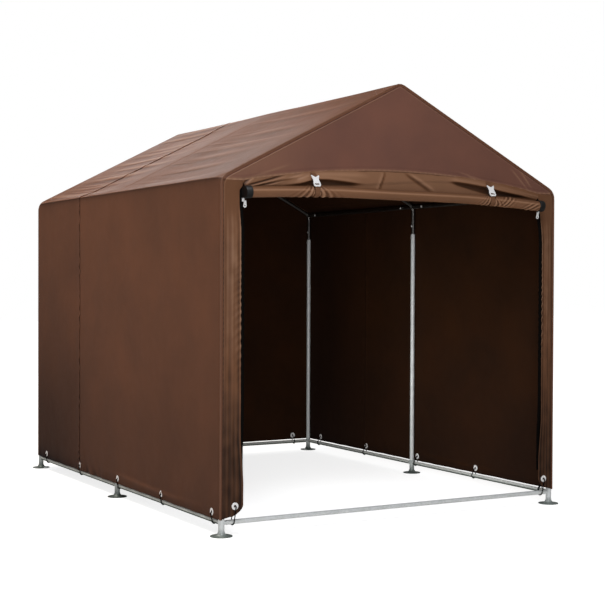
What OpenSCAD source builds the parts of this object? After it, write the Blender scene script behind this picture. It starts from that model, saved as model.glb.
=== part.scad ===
// Fabric bike shelter: three ribs of slip-together steel tube under a tailored fabric cover.
// The ribs stand on round feet, and rails join them at the base, the eaves and the ridge.
// Millimetres. X runs across the shelter, the doorway faces -Y, and Z is the height above ground.

/* [Frame] */
// Distance between the left and right legs, centre to centre
frame_width = 1910; // [1500:10:2600]
// Distance from the front rib to the back rib, centre to centre
frame_depth = 2540; // [2300:10:3600]
// Height at which the centre lines of a leg and a rafter would cross
eave_height = 1617; // [1400:1:2000]
// Slope of the roof, in degrees
roof_pitch = 27.5; // [18:0.5:40]
// Outside diameter of the leg and rafter tubes
tube_d = 25; // [22:0.5:32]
// Outside diameter of the rail tubes
rail_d = 22; // [18:0.5:25]
// Wall thickness of every tube
tube_wall = 1.2; // [0.8:0.1:2]

/* [Fittings] */
// Centre-line radius of the bend at each eave
eave_bend_r = 48; // [40:1:120]
// Centre-line radius of the bend at the ridge
ridge_bend_r = 45; // [40:1:150]
// Distance from a corner to the end of a leg or rafter tube
arm_reach = 168; // [120:1:240]
// Distance from a rib to the end of an eave or ridge rail
stub_reach = 90; // [50:1:160]
// Depth that a fitting slips into its tube
slip_depth = 45; // [25:1:80]
// Clearance on each side of a slip joint
slip_gap = 0.3; // [0.2:0.05:0.6]

/* [Feet] */
// Diameter of the foot plate
foot_d = 104; // [90:1:140]
// Thickness of the foot plate
foot_t = 3; // [2:0.5:6]
// Radius of the flare between the plate and the socket
foot_flare = 24; // [8:1:26]
// Height of the socket top above ground
socket_h = 78; // [74:1:79]
// Wall thickness of the socket
socket_wall = 1.5; // [1:0.1:3]
// Height of the base rail centre lines
base_rail_z = 62; // [50:1:64]
// Distance from a leg to the end of a base rail
base_reach = 24; // [20:1:40]
// Diameter of the holes for ground stakes
stake_hole_d = 11; // [8:0.5:14]
// Diameter of the circle through the two stake holes
stake_pcd = 84; // [82:1:86]

/* [Cover] */
// Thickness of the cover panels
cover_t = 2; // [1.5:0.1:4]
// Clearance between the tubes and the cover
cover_gap = 0.3; // [0.2:0.1:1]
// Height of the bottom hem
hem_z = 80; // [80:1:98]
// Width of the strips beside the door, with their zip tapes
strip_w = 112; // [90:1:300]
// Slope of the bottom hem of the strips, in degrees
strip_fall = 14; // [0:1:20]
// Height of the seam between the gable and the strips, above the eave height
seam_lift = 3; // [-20:1:10]
// Height by which the gable hem arches up over the doorway
gable_rise = 75; // [30:1:110]
// Radius of the bottom corner of the strips beside the door
strip_corner = 40; // [10:1:44]

/* [Rolled door] */
// Diameter of the rolled-up door
roll_d = 52; // [40:1:56]
// Distance from the edge of the doorway to the end of the roll
roll_inset = 25; // [10:1:80]
// Distance from the seam over the strips down to the ends of the roll
roll_drop = 59; // [55:1:90]
// Height by which the roll bows up in the middle
roll_rise = 24; // [5:1:30]
// Diameter of the end caps
cap_d = 58; // [56:1:70]
// Length of the end caps
cap_l = 32; // [15:1:50]
// Place of the left strap across the doorway
left_strap_x = -494; // [-560:1:-300]
// Place of the right strap across the doorway
right_strap_x = 528; // [300:1:560]
// Width of the straps
strap_w = 25; // [15:1:40]
// Thickness of the straps
strap_t = 1.5; // [1:0.1:3]
// Length of the strap buckles
buckle_l = 57; // [50:1:70]
// Width of the strap buckles across the fork
buckle_w = 44; // [36:1:50]
// Thickness of the strap buckles
buckle_t = 4; // [3:0.5:6]
// Distance from the seam over the strips down to the left and right zip sliders
pull_drop = [97, 103];

/* [Ties] */
// Height of the eyelets above the hem
eyelet_rise = 24; // [22:1:40]
// Height of the eyelets in the strips beside the door, above the hem
strip_eyelet_rise = 57; // [40:1:90]
// Distance from the doorway edge to the eyelet in a strip
strip_eyelet_inset = 41; // [30:1:60]
// Outside diameter of the eyelets
eyelet_d = 34; // [24:1:40]
// Diameter of the hole through the eyelets
eyelet_hole_d = 12; // [10:0.5:16]
// Thickness of the eyelet flanges
eyelet_t = 1.2; // [0.8:0.1:1.6]
// Diameter of the elastic tie cords
cord_d = 5; // [3:0.5:6]
// Distance from the front rib to the first tie on a side
tie_inset = 70; // [50:1:120]
// Distance from the last tie on a side to the back rib
tie_back_inset = 150; // [50:1:250]
// Number of ties on each side
tie_count = 5; // [3:1:5]
// Distance from a leg to the first tie across the back
back_tie_inset = 115; // [60:1:300]
// Number of ties across the back
back_tie_count = 4; // [2:1:4]

/* [Hidden] */
RIBS = ["front", "middle", "back"];
SIDES = ["left", "right"];
$fn = 48;

steel = "silver";
brown = "saddlebrown";
arc_steps = 10;
weld = 2;
drop_steps = 16;
roll_sides = 20;

// Cover faces, measured out from the frame centre lines
skin_in = tube_d / 2 + cover_gap;
skin_out = skin_in + cover_t;
skin_mid = (skin_in + skin_out) / 2;

// Frame centre lines; the ribs sit back a little so that the whole shelter is centred on the origin
half_w = frame_width / 2;
roll_gap = 0.5;
front_overhang = skin_out + roll_gap + cap_d;
rib_y = [for (i = [-1 : 1]) i * frame_depth / 2 + (front_overhang - foot_d / 2) / 2];
eave_turn = 90 - roof_pitch;
eave_tangent = eave_bend_r * tan(eave_turn / 2);
eave_centre = [half_w - eave_bend_r, eave_height - eave_tangent];
slope_length = half_w / cos(roof_pitch);
ridge_height = eave_height + half_w * tan(roof_pitch);
ridge_tangent = ridge_bend_r * tan(roof_pitch);
ridge_centre = [0, ridge_height - ridge_bend_r / cos(roof_pitch)];
eave_rail = eave_centre + eave_bend_r * [cos(eave_turn / 2), sin(eave_turn / 2)];
ridge_rail_z = ridge_centre.y + ridge_bend_r;

// Slip joints
bend_d = tube_d - 2 * tube_wall;
arm_d = bend_d - 2 * slip_gap;
stub_d = rail_d - 2 * tube_wall - 2 * slip_gap;
socket_bore = tube_d + 2 * slip_gap;
socket_d = socket_bore + 2 * socket_wall;

// Cover ends and doorway
door_half = half_w + skin_out - strip_w;
strip_top = eave_height + seam_lift;
eyelet_z = hem_z + eyelet_rise;
strip_eyelet_z = hem_z + strip_eyelet_rise;
tunnel_y = [rib_y[0] - skin_in, rib_y[2] + skin_in];
front_face = tunnel_y[0] - cover_t;
seam_angle = asin((strip_top - eave_centre.y) / (eave_bend_r + skin_out));

// Rolled door: its centre line is an arc that bows upwards
roll_half = door_half - roll_inset;
roll_end_z = strip_top - roll_drop;
roll_y = front_face - roll_gap - cap_d / 2;
roll_r = (roll_half ^ 2 + roll_rise ^ 2) / (2 * roll_rise);
roll_centre_z = roll_end_z + roll_rise - roll_r;
roll_sweep = 2 * asin(roll_half / roll_r);
cap_sweep = cap_l / roll_r * 180 / PI;

// Straps: an open loop round the roll, and a strand up to the gable
strap_gap = 0.3;
strap_r = roll_d / 2 + strap_gap;
strap_lap = 12;
strap_back_angle = -222;

// Buckles, zip pulls and ties
buckle_waist = buckle_w * 0.72;
buckle_foot = buckle_w * 0.84;
buckle_corner = buckle_w * 0.2;
buckle_slot = [buckle_w * 0.5, 8];
buckle_lift = 4;
slider_size = [12, 7, 16];
pull_size = [17, 2, 34];
pull_inset = 7;
pull_hole_d = 5;
eyelet_seat = 0.1;
eyelet_barrel = 1.2;
tie_gap = 0.3;
tie_rail_r = rail_d / 2 + cord_d / 2 + tie_gap;
tie_hole_r = 7;
cord_sides = 6;
tie_pitch = (frame_depth - tie_inset - tie_back_inset) / (tie_count - 1);
back_tie_pitch = (frame_width - 2 * back_tie_inset) / (back_tie_count - 1);
side_tie_y = [for (i = [0 : tie_count - 1]) rib_y[0] + tie_inset + i * tie_pitch];
back_tie_x = [for (i = [0 : back_tie_count - 1]) (i - (back_tie_count - 1) / 2) * back_tie_pitch];
strip_tie_x = door_half + strip_eyelet_inset;

function arc(centre, r, from, to, steps = arc_steps) =
    [for (i = [0 : steps]) let (a = from + (to - from) * i / steps) centre + r * [cos(a), sin(a)]];
function reversed(points) = [for (i = [len(points) - 1 : -1 : 0]) points[i]];
function mirrored(points) = [for (p = reversed(points)) [-p.x, p.y]];
function side_sign(side) = side == "left" ? -1 : 1;
function rafter_point(s) = [half_w - s * cos(roof_pitch), eave_height + s * sin(roof_pitch)];
function gable_hem(x) = strip_top + gable_rise * (1 - (x / door_half) ^ 2);
function roll_z(x) = roll_centre_z + sqrt(roll_r ^ 2 - x ^ 2);

// Right half of the cover outline, from the top of the wall to the ridge, at distance d from the frame
function roof_outline(d, from = 0) = concat(
    arc(eave_centre, eave_bend_r + d, from, eave_turn),
    arc(ridge_centre, ridge_bend_r + d, eave_turn, 90)
);

// Loop of cord round a rail at the origin and through an eyelet at c
function tie_path(c) =
    let (
        span = norm(c),
        toward = atan2(c.y, c.x),
        open = acos((tie_rail_r - tie_hole_r) / span)
    )
    concat(
        arc([0, 0], tie_rail_r, toward + open, toward + 360 - open, 9),
        arc(c, tie_hole_r, toward - open, toward + open, 5)
    );

// Tools

// Draws its children with +Z running from a to b
module along(a, b) {
    v = b - a;
    translate(a)
        rotate([0, acos(v.z / norm(v)), atan2(v.y, v.x)])
            children();
}

module rod(a, b, d) {
    along(a, b)
        cylinder(d = d, h = norm(b - a));
}

// Rod that starts a little before a, inside the bend that it joins
module arm(a, b) {
    rod(a - weld * (b - a) / norm(b - a), b, arm_d);
}

module tube(a, b, d) {
    length = norm(b - a);
    along(a, b)
        difference() {
            cylinder(d = d, h = length);
            translate([0, 0, -1])
                cylinder(d = d - 2 * tube_wall, h = length + 2);
        }
}

// Turns a profile drawn in X and Z into a panel from y to y + t
module panel(y, t) {
    translate([0, y + t, 0])
        rotate([90, 0, 0])
            linear_extrude(height = t)
                children();
}

module on_side(side) {
    if (side == "left")
        mirror([1, 0, 0])
            children();
    else
        children();
}

// Bent length of fitting in the XZ plane, from one angle to another round a centre
module bend(centre, r, from, sweep, d) {
    translate([centre.x, 0, centre.y])
        rotate([90, 0, 0])
            rotate([0, 0, from])
                rotate_extrude(angle = sweep)
                    translate([r, 0])
                        circle(d = d);
}

// Frame pieces

module foot(rib, side) {
    corner = rib != 1;
    inward = rib == 0 ? 1 : -1;
    hole_turn = corner ? 45 * inward : 0;
    stub_l = base_reach + slip_depth;
    flare_centre = [socket_d / 2 + foot_flare, foot_t + foot_flare];
    color(steel)
        on_side(side)
            translate([half_w, rib_y[rib], 0])
                difference() {
                    union() {
                        rotate_extrude()
                            polygon(concat(
                                [[0, 0], [foot_d / 2, 0], [foot_d / 2, foot_t]],
                                reversed(arc(flare_centre, foot_flare, 180, 270)),
                                [[socket_d / 2, socket_h], [0, socket_h]]
                            ));
                        if (corner)
                            rod([0, 0, base_rail_z], [-stub_l, 0, base_rail_z], stub_d);
                        for (way = corner ? [inward] : [-1, 1])
                            rod([0, 0, base_rail_z], [0, way * stub_l, base_rail_z], stub_d);
                    }
                    translate([0, 0, foot_t])
                        cylinder(d = socket_bore, h = socket_h);
                    for (way = [-1, 1])
                        rotate([0, 0, -hole_turn])
                            translate([way * stake_pcd / 2, 0, -1])
                                cylinder(d = stake_hole_d, h = foot_t + foot_flare);
                }
}

module leg(rib, side) {
    color(steel)
        on_side(side)
            translate([half_w, rib_y[rib], 0])
                tube([0, 0, foot_t], [0, 0, eave_height - arm_reach], tube_d);
}

// Rail stubs on a fitting, toward the neighbouring ribs
module rail_stubs(rib, x, z) {
    for (way = [if (rib > 0) -1, if (rib < 2) 1])
        rod([x, 0, z], [x, way * (stub_reach + slip_depth), z], stub_d);
}

module eave_fitting(rib, side) {
    leg_top = [half_w, 0, eave_centre.y];
    leg_end = [half_w, 0, eave_height - arm_reach - slip_depth];
    rafter_start = rafter_point(eave_tangent);
    rafter_end = rafter_point(arm_reach + slip_depth);
    color(steel)
        on_side(side)
            translate([0, rib_y[rib], 0]) {
                bend(eave_centre, eave_bend_r, 0, eave_turn, bend_d);
                arm(leg_top, leg_end);
                arm([rafter_start.x, 0, rafter_start.y], [rafter_end.x, 0, rafter_end.y]);
                rail_stubs(rib, eave_rail.x, eave_rail.y);
            }
}

module rafters(rib) {
    low = rafter_point(arm_reach);
    high = rafter_point(slope_length - arm_reach);
    color(steel)
        translate([0, rib_y[rib], 0])
            for (side = SIDES)
                on_side(side)
                    tube([low.x, 0, low.y], [high.x, 0, high.y], tube_d);
}

module ridge_fitting(rib) {
    start = rafter_point(slope_length - ridge_tangent);
    end = rafter_point(slope_length - arm_reach - slip_depth);
    color(steel)
        translate([0, rib_y[rib], 0]) {
            bend(ridge_centre, ridge_bend_r, eave_turn, 2 * roof_pitch, bend_d);
            for (side = SIDES)
                on_side(side)
                    arm([start.x, 0, start.y], [end.x, 0, end.y]);
            rail_stubs(rib, 0, ridge_rail_z);
        }
}

// Two rails in line, one for each bay between the ribs
module bay_rails(x, z, reach) {
    color(steel)
        for (bay = [0, 1])
            tube([x, rib_y[bay] + reach, z], [x, rib_y[bay + 1] - reach, z], rail_d);
}

module end_base_rail(rib) {
    reach = half_w - base_reach;
    color(steel)
        tube([-reach, rib_y[rib], base_rail_z], [reach, rib_y[rib], base_rail_z], rail_d);
}

// Cover panels

module eyelet_hole() {
    cylinder(d = eyelet_hole_d + 2 * eyelet_barrel + 2 * eyelet_seat, h = 4 * skin_out, center = true);
}

module wall(side) {
    color(brown)
        on_side(side)
            difference() {
                translate([half_w + skin_in, tunnel_y[0], hem_z])
                    cube([cover_t, tunnel_y[1] - tunnel_y[0], eave_centre.y - hem_z]);
                for (y = side_tie_y)
                    translate([half_w + skin_mid, y, eyelet_z])
                        rotate([0, 90, 0])
                            eyelet_hole();
            }
}

module roof(side) {
    color(brown)
        on_side(side)
            panel(tunnel_y[0], tunnel_y[1] - tunnel_y[0])
                polygon(concat(roof_outline(skin_out), reversed(roof_outline(skin_in))));
}

module back_wall() {
    right = concat([[half_w + skin_out, hem_z]], roof_outline(skin_out));
    color(brown)
        difference() {
            panel(tunnel_y[1], cover_t)
                polygon(concat(right, mirrored(right)));
            for (x = back_tie_x)
                translate([x, tunnel_y[1], eyelet_z])
                    rotate([90, 0, 0])
                        eyelet_hole();
        }
}

module front_gable() {
    right = roof_outline(skin_out, seam_angle);
    hem = [for (i = [0 : drop_steps]) let (x = door_half * (2 * i / drop_steps - 1)) [x, gable_hem(x)]];
    color(brown)
        panel(front_face, cover_t)
            polygon(concat(right, mirrored(right), hem));
}

module front_strip(side) {
    corner_z = hem_z + (strip_w - strip_corner) * tan(strip_fall) + strip_corner / cos(strip_fall);
    corner = [door_half + strip_corner, corner_z];
    color(brown)
        on_side(side)
            difference() {
                panel(front_face, cover_t)
                    polygon(concat(
                        [[door_half, strip_top]],
                        arc(corner, strip_corner, 180, 270 - strip_fall),
                        [[half_w + skin_out, hem_z]],
                        arc(eave_centre, eave_bend_r + skin_out, 0, seam_angle)
                    ));
                translate([strip_tie_x, front_face, strip_eyelet_z])
                    rotate([90, 0, 0])
                        eyelet_hole();
            }
}

// Section of the rolled door at x: once round the roll, then up the slack cloth to the gable hem
function door_section(x) =
    let (
        hem = [front_face, gable_hem(x)],
        centre = [roll_y, roll_z(x)],
        up = atan2(hem.y - centre.y, hem.x + cover_t / 2 - centre.x),
        open = asin(cover_t / roll_d)
    )
    concat(arc(centre, roll_d / 2, up + open, up + 360 - open, roll_sides), [hem + [cover_t, 0], hem]);

module rolled_door() {
    stations = [for (i = [0 : drop_steps]) roll_half * (2 * i / drop_steps - 1)];
    n = roll_sides + 3;
    last = drop_steps * n;
    middles = [for (x = [-roll_half, roll_half]) [x, roll_y, roll_z(x)]];
    points = concat([for (x = stations, p = door_section(x)) [x, p.x, p.y]], middles);
    skin = [for (i = [0 : drop_steps - 1], k = [0 : n - 1])
        let (a = i * n + k, b = i * n + (k + 1) % n)
        for (f = [[a, b + n, b], [a, a + n, b + n]]) f];
    ends = [for (k = [0 : n - 1])
        let (m = (k + 1) % n)
        for (f = [[len(points) - 2, k, m], [len(points) - 1, last + m, last + k]]) f];
    color(brown)
        polyhedron(points, concat(skin, ends));
}

module door_end_caps() {
    color("black")
        translate([0, roll_y, 0])
            for (from = [90 + roll_sweep / 2, 90 - roll_sweep / 2 - cap_sweep])
                bend([0, roll_centre_z], roll_r, from, cap_sweep, cap_d);
}

// Door hardware

// Top of the strand of a strap and the angle at which it leaves the loop, from the left with the front at +X
function strap_top(x, r) =
    [-(front_face - roll_y) + strap_gap + r - strap_r, gable_hem(x) + strap_lap - roll_z(x)];
function strap_leave(x, r) = let (top = strap_top(x, r)) atan2(top.y, top.x) - acos(r / norm(top));

module door_strap(x) {
    inner = strap_r;
    outer = strap_r + strap_t;
    translate([x - strap_w / 2, roll_y, roll_z(x)])
        rotate([90, 0, -90])
            mirror([0, 0, 1])
                linear_extrude(height = strap_w)
                    polygon(concat(
                        [strap_top(x, outer)],
                        arc([0, 0], outer, strap_leave(x, outer), strap_back_angle, 3 * arc_steps),
                        arc([0, 0], inner, strap_back_angle, strap_leave(x, inner), 3 * arc_steps),
                        [strap_top(x, inner)]
                    ));
}

module door_straps() {
    color(brown)
        for (x = [left_strap_x, right_strap_x])
            door_strap(x);
}

// Forked white tab with a slot near its rounded lower end, drawn upright from its lower end
module buckle_outline() {
    fork = buckle_w / 2;
    waist = buckle_waist / 2;
    foot = buckle_foot / 2;
    right = concat(
        arc([foot - buckle_corner, buckle_corner], buckle_corner, 270, 360),
        [[foot, buckle_l * 0.3], [waist, buckle_l * 0.6], [fork, buckle_l * 0.96], [fork * 0.8, buckle_l]]
    );
    difference() {
        polygon(concat(right, [[0, buckle_l * 0.84]], mirrored(right)));
        translate([-buckle_slot.x / 2, buckle_corner])
            square(buckle_slot);
    }
}

module strap_buckles() {
    color("white")
        for (x = [left_strap_x, right_strap_x]) {
            r = strap_r + strap_t + strap_gap;
            leave = strap_leave(x, r);
            foot = [r * cos(leave), r * sin(leave)];
            translate([x, roll_y - foot.x, roll_z(x) + foot.y])
                rotate([-leave, 0, 0])
                    translate([0, 0, buckle_lift])
                        rotate([90, 0, 0])
                            linear_extrude(height = buckle_t)
                                buckle_outline();
        }
}

module zip_pull(z) {
    slider = slider_size;
    tab = pull_size;
    translate([door_half, front_face - slip_gap, z]) {
        translate([-slider.x / 2, -slider.y, 0])
            difference() {
                cube(slider);
                translate([-1, -1, -1])
                    cube([slider.x + 2, slider.y / 2 + 1, slider.z * 0.4 + 1]);
            }
        translate([-pull_inset, -slider.y / 2 - tab.y / 2, 0])
            rotate([90, 0, 0])
                translate([0, slider.z * 0.4, -tab.y / 2])
                    linear_extrude(height = tab.y)
                        difference() {
                            translate([-tab.x / 2, -tab.z])
                                square([tab.x, tab.z]);
                            translate([0, -tab.z + tab.x / 2])
                                circle(d = pull_hole_d);
                        }
    }
}

module zip_pulls() {
    color("white")
        for (i = [0, 1])
            on_side(SIDES[i])
                zip_pull(strip_top - pull_drop[i]);
}

// Ties and eyelets

// Places its children in the plane of each tie, with +X out through the cover and +Y up
module at_ties() {
    for (side = SIDES, y = side_tie_y)
        on_side(side)
            translate([half_w, y, base_rail_z])
                rotate([90, 0, 0])
                    children();
    for (x = back_tie_x)
        translate([x, rib_y[2], base_rail_z])
            rotate([90, 0, 90])
                children();
}

module at_strip_ties() {
    for (side = SIDES)
        on_side(side)
            translate([strip_tie_x, rib_y[0], base_rail_z])
                rotate([90, 0, -90])
                    children();
}

// Endless cord swept along a flat loop
module tie_cord(height) {
    path = tie_path([skin_mid, height - base_rail_z - tie_hole_r]);
    n = len(path);
    points = [for (i = [0 : n - 1])
        let (t = path[(i + 1) % n] - path[(i + n - 1) % n], across = [t.y, -t.x] / norm(t))
        for (k = [0 : cord_sides - 1])
            let (a = 360 * k / cord_sides, p = path[i] + across * cord_d / 2 * cos(a))
            [p.x, p.y, cord_d / 2 * sin(a)]];
    faces = [for (i = [0 : n - 1], k = [0 : cord_sides - 1])
        let (j = (i + 1) % n, m = (k + 1) % cord_sides)
        for (f = [[i * cord_sides + k, i * cord_sides + m, j * cord_sides + m],
                  [i * cord_sides + k, j * cord_sides + m, j * cord_sides + k]]) f];
    polyhedron(points, faces);
}

module tie_cords() {
    color("black") {
        at_ties()
            tie_cord(eyelet_z);
        at_strip_ties()
            tie_cord(strip_eyelet_z);
    }
}

// Flanged ring that grips both faces of the cover
module eyelet(height) {
    hole_r = eyelet_hole_d / 2;
    grip = cover_t / 2 + eyelet_seat;
    translate([skin_mid, height - base_rail_z, 0])
        rotate([0, 90, 0])
            rotate_extrude()
                polygon([
                    [hole_r, -grip - eyelet_t], [eyelet_d / 2, -grip - eyelet_t], [eyelet_d / 2, -grip],
                    [hole_r + eyelet_barrel, -grip], [hole_r + eyelet_barrel, grip], [eyelet_d / 2, grip],
                    [eyelet_d / 2, grip + eyelet_t], [hole_r, grip + eyelet_t]
                ]);
}

module eyelets() {
    color("gainsboro") {
        at_ties()
            eyelet(eyelet_z);
        at_strip_ties()
            eyelet(strip_eyelet_z);
    }
}

for (rib = [0 : 2]) {
    for (side = SIDES) {
        foot(rib, side);
        leg(rib, side);
        eave_fitting(rib, side);
    }
    rafters(rib);
    ridge_fitting(rib);
}
for (side = SIDES) {
    way = side_sign(side);
    eave_x = way * eave_rail.x;
    bay_rails(eave_x, eave_rail.y, stub_reach);
    bay_rails(way * half_w, base_rail_z, base_reach);
    wall(side);
    roof(side);
    front_strip(side);
}
bay_rails(0, ridge_rail_z, stub_reach);  // ridge_rails
end_base_rail(0);  // front_base_rail
end_base_rail(2);  // back_base_rail
back_wall();
front_gable();
rolled_door();
door_end_caps();
door_straps();
strap_buckles();
zip_pulls();
tie_cords();
eyelets();
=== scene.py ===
# %% [markdown]
# # A fabric bike shelter
# The shelter is a frame of steel tube under a sewn cloth cover. The tubes come from the CAD model as they
# are. The cloth is what this lesson is about: it is thin, it is stretched over the tubes, and it
# wrinkles.

# %% Load the frame
import math

import bpy
import numpy as np
from mathutils import Matrix, Vector


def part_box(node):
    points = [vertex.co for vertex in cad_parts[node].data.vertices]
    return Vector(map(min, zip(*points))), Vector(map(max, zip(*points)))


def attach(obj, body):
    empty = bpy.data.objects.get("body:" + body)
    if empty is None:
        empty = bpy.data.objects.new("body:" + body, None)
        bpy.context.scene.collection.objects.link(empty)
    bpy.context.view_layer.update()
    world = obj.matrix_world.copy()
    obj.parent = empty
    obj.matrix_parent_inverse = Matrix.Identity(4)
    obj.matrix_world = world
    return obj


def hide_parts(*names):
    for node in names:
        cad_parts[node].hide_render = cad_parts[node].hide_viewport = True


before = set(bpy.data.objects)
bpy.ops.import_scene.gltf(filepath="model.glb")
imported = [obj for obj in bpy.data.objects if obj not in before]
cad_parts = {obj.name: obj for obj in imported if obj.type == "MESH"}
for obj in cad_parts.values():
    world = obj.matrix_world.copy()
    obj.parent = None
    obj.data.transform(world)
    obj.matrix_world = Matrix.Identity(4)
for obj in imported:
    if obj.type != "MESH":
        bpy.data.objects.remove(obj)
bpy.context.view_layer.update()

# %% [markdown]
# The sizes of the cloth are read from the CAD nodes that it stands for, so nothing has to be fitted by
# eye. Only the bends of the frame are repeated here, because a box doesn't tell a radius.

# %% Sizes from the frame
MM = 0.001
PITCH = math.radians(27.5)
EAVE_R, RIDGE_R = 48 * MM, 45 * MM
TUBE_R, RAIL_R = 12.5 * MM, 11 * MM

def middle(node):
    low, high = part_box(node)
    return (low + high) / 2

leg_x = middle("front_right_leg").x
rib_y = [middle(f"{rib}_right_leg").y for rib in ("front", "middle", "back")]
HEM_DROP = 4 * MM
hem_z, eave_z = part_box("right_wall")[0].z - HEM_DROP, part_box("right_wall")[1].z
wall_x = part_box("right_wall")[1].x
front_y, back_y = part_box("front_gable")[0].y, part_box("back_wall")[1].y
seam_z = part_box("front_gable")[0].z
top_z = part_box("roof_right")[1].z
door_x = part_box("front_right_strip")[0].x
base_z = middle("front_base_rail").z
eave_rail = middle("right_eave_rails")
sizes = {"half width": wall_x, "front": front_y, "back": back_y, "top": top_z}
print({word: round(size, 4) for word, size in sizes.items()})

# %% [markdown]
# ## Camera
# The photograph was taken from the left of the doorway with a long lens, a little above waist height. A
# long lens keeps the far side of the shelter almost as tall as the near side.

# %% Camera
CAMERA_PLACE = (-3.6087, -6.6762, 1.1589)
CAMERA_YAW, CAMERA_DOWN, CAMERA_ROLL = 29.5716, 0.8932, 0.2238
LENS_MM = 79.028

bpy.ops.object.select_all(action="DESELECT")
bpy.ops.object.camera_add(location=CAMERA_PLACE)
camera = bpy.context.object
yaw = Matrix.Rotation(math.radians(-CAMERA_YAW), 3, "Z")
pitch = Matrix.Rotation(math.radians(90 - CAMERA_DOWN), 3, "X")
roll = Matrix.Rotation(math.radians(CAMERA_ROLL), 3, "Z")
camera.rotation_euler = (yaw @ pitch @ roll).to_euler()
camera.data.lens, camera.data.sensor_width, camera.data.sensor_fit = LENS_MM, 36, "HORIZONTAL"
bpy.context.scene.camera = camera
print("camera", tuple(round(v, 3) for v in camera.location), "lens", LENS_MM)

# %% [markdown]
# ## Floor and light
# The floor is pale and matt. To the camera it glows a little, so that it runs out into white as studio
# paper does, but it sends only soft light back up. Five soft boxes do the rest: a key above the doorway,
# a low fill in front, one over the left slope, a wide one behind that skims along the roof and brings out
# its creases, and a small one in the doorway for the dark inside.

# %% Floor and light
FLOOR_BOUNCE, SKY_GLOW = 0.27, 0.15

def to_linear(hex_code):
    parts = [int(hex_code[i : i + 2], 16) / 255 for i in (1, 3, 5)]
    return [p / 12.92 if p <= 0.04045 else ((p + 0.055) / 1.055) ** 2.4 for p in parts] + [1.0]

def add_node(tree, kind, links=(), sockets=None, **settings):
    """Adds a node with its settings and socket values, and links each (own input, other node, its output)."""
    node = tree.nodes.new(kind)
    for key, value in settings.items():
        setattr(node, key, value)
    for key, value in (sockets or {}).items():
        node.inputs[key].default_value = value
    for own, other, output in links:
        tree.links.new(other.outputs[output], node.inputs[own])
    return node

def new_material(name):
    material = bpy.data.materials.new(name)
    material.use_nodes = True
    tree = material.node_tree
    return material, tree, tree.nodes["Principled BSDF"]

bpy.context.scene.view_settings.view_transform = "Standard"

bpy.ops.mesh.primitive_plane_add(size=60)
floor = bpy.context.object
floor.name = "studio_floor"
floor_paint, tree, shader = new_material("matt studio floor")
shader.inputs["Base Color"].default_value = to_linear("#F1F0EE")
shader.inputs["Roughness"].default_value = 0.9
shader.inputs["Emission Color"].default_value = to_linear("#FFFFFF")
spot = add_node(tree, "ShaderNodeTexCoord")
reach = add_node(tree, "ShaderNodeVectorMath", [(0, spot, "Object")], operation="LENGTH")
fade = {"From Min": 2.5, "From Max": 9.0, "To Min": 0.80, "To Max": 1.0}
sweep = add_node(tree, "ShaderNodeMapRange", [("Value", reach, "Value")], fade)
seen = add_node(tree, "ShaderNodeLightPath")
glow = [(0, seen, "Is Camera Ray"), (3, sweep, 0)]
bounce = add_node(tree, "ShaderNodeMix", glow, {2: FLOOR_BOUNCE}, data_type="FLOAT")
tree.links.new(bounce.outputs[0], shader.inputs["Emission Strength"])
floor.data.materials.append(floor_paint)
floor.visible_glossy = False

world = bpy.data.worlds.new("studio")
bpy.context.scene.world = world
world.use_nodes = True
sky = world.node_tree
dim = sky.nodes["Background"]
dim.inputs["Color"].default_value = to_linear("#FFFFFF")
dim.inputs["Strength"].default_value = SKY_GLOW
white = add_node(sky, "ShaderNodeBackground", (), {"Color": to_linear("#FFFFFF"), "Strength": 1.0})
seen = add_node(sky, "ShaderNodeLightPath")
both = add_node(sky, "ShaderNodeMixShader", [(0, seen, "Is Camera Ray"), (1, dim, 0), (2, white, 0)])
sky.links.new(both.outputs[0], sky.nodes["World Output"].inputs["Surface"])

def soft_box(name, place, target, size, watts, tint="#FFFFFF"):
    bpy.ops.object.light_add(type="AREA", location=place)
    lamp = bpy.context.object
    lamp.name = name
    lamp.data.shape, lamp.data.size, lamp.data.energy = "DISK", size, watts
    lamp.data.color = to_linear(tint)[:3]
    lamp.rotation_euler = (Vector(target) - Vector(place)).to_track_quat("-Z", "Y").to_euler()
    return lamp

soft_box("key_softbox", (-1.2, -3.6, 5.2), (-0.2, -0.4, 1.2), 2.2, 106, "#F6F8FF")
soft_box("fill_softbox", (-2.2, -5.2, 1.3), (0.4, 0, 1.0), 1.8, 40, "#F3F7FF")
soft_box("side_softbox", (-2.2, 1.0, 4.7), (-0.6, 0.5, 1.7), 1.8, 100, "#FFF4EA")
soft_box("back_softbox", (2.9, 8.8, 4.3), (-0.1, 0.3, 1.9), 3.2, 88)
doorway_box = soft_box("inside_softbox", (-0.72, -0.85, 0.6), (0.95, -0.2, 0.62), 0.5, 3)
doorway_box.data.spread = math.radians(90)

# %% [markdown]
# ## Materials
# The cover is polyester cloth with a waterproof coating. The weave is fine, and the coating gives it a
# soft sheen. The inside is drawn in a much darker copy of the cloth, as painted shade. The weave of the
# real cloth is about 0.5 mm, too fine to show, so it is drawn at 3 mm with a very low bump. Painted
# shade and painted highlights are put on the points of the cloth, in an attribute named dark: above 0
# it mixes in a painted shade colour, below 0 a paler painted highlight colour.

# %% Cloth
WEAVE_MM, CRINKLE_MM, BLOTCH_MM = 3.0, 55.0, 420.0
WEAVE = {"Scale": 1000 / WEAVE_MM / math.pi, "Distortion": 0.6, "Detail": 1.0}
# SHADE_HEX is the painted shade colour that the dark attribute mixes in.
SHADE_HEX = "#1F0F07"

def noise(tree, vector, scale, detail, roughness=0.5):
    sockets = {"Scale": scale, "Detail": detail, "Roughness": roughness}
    return add_node(tree, "ShaderNodeTexNoise", [("Vector", *vector)], sockets)

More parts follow.
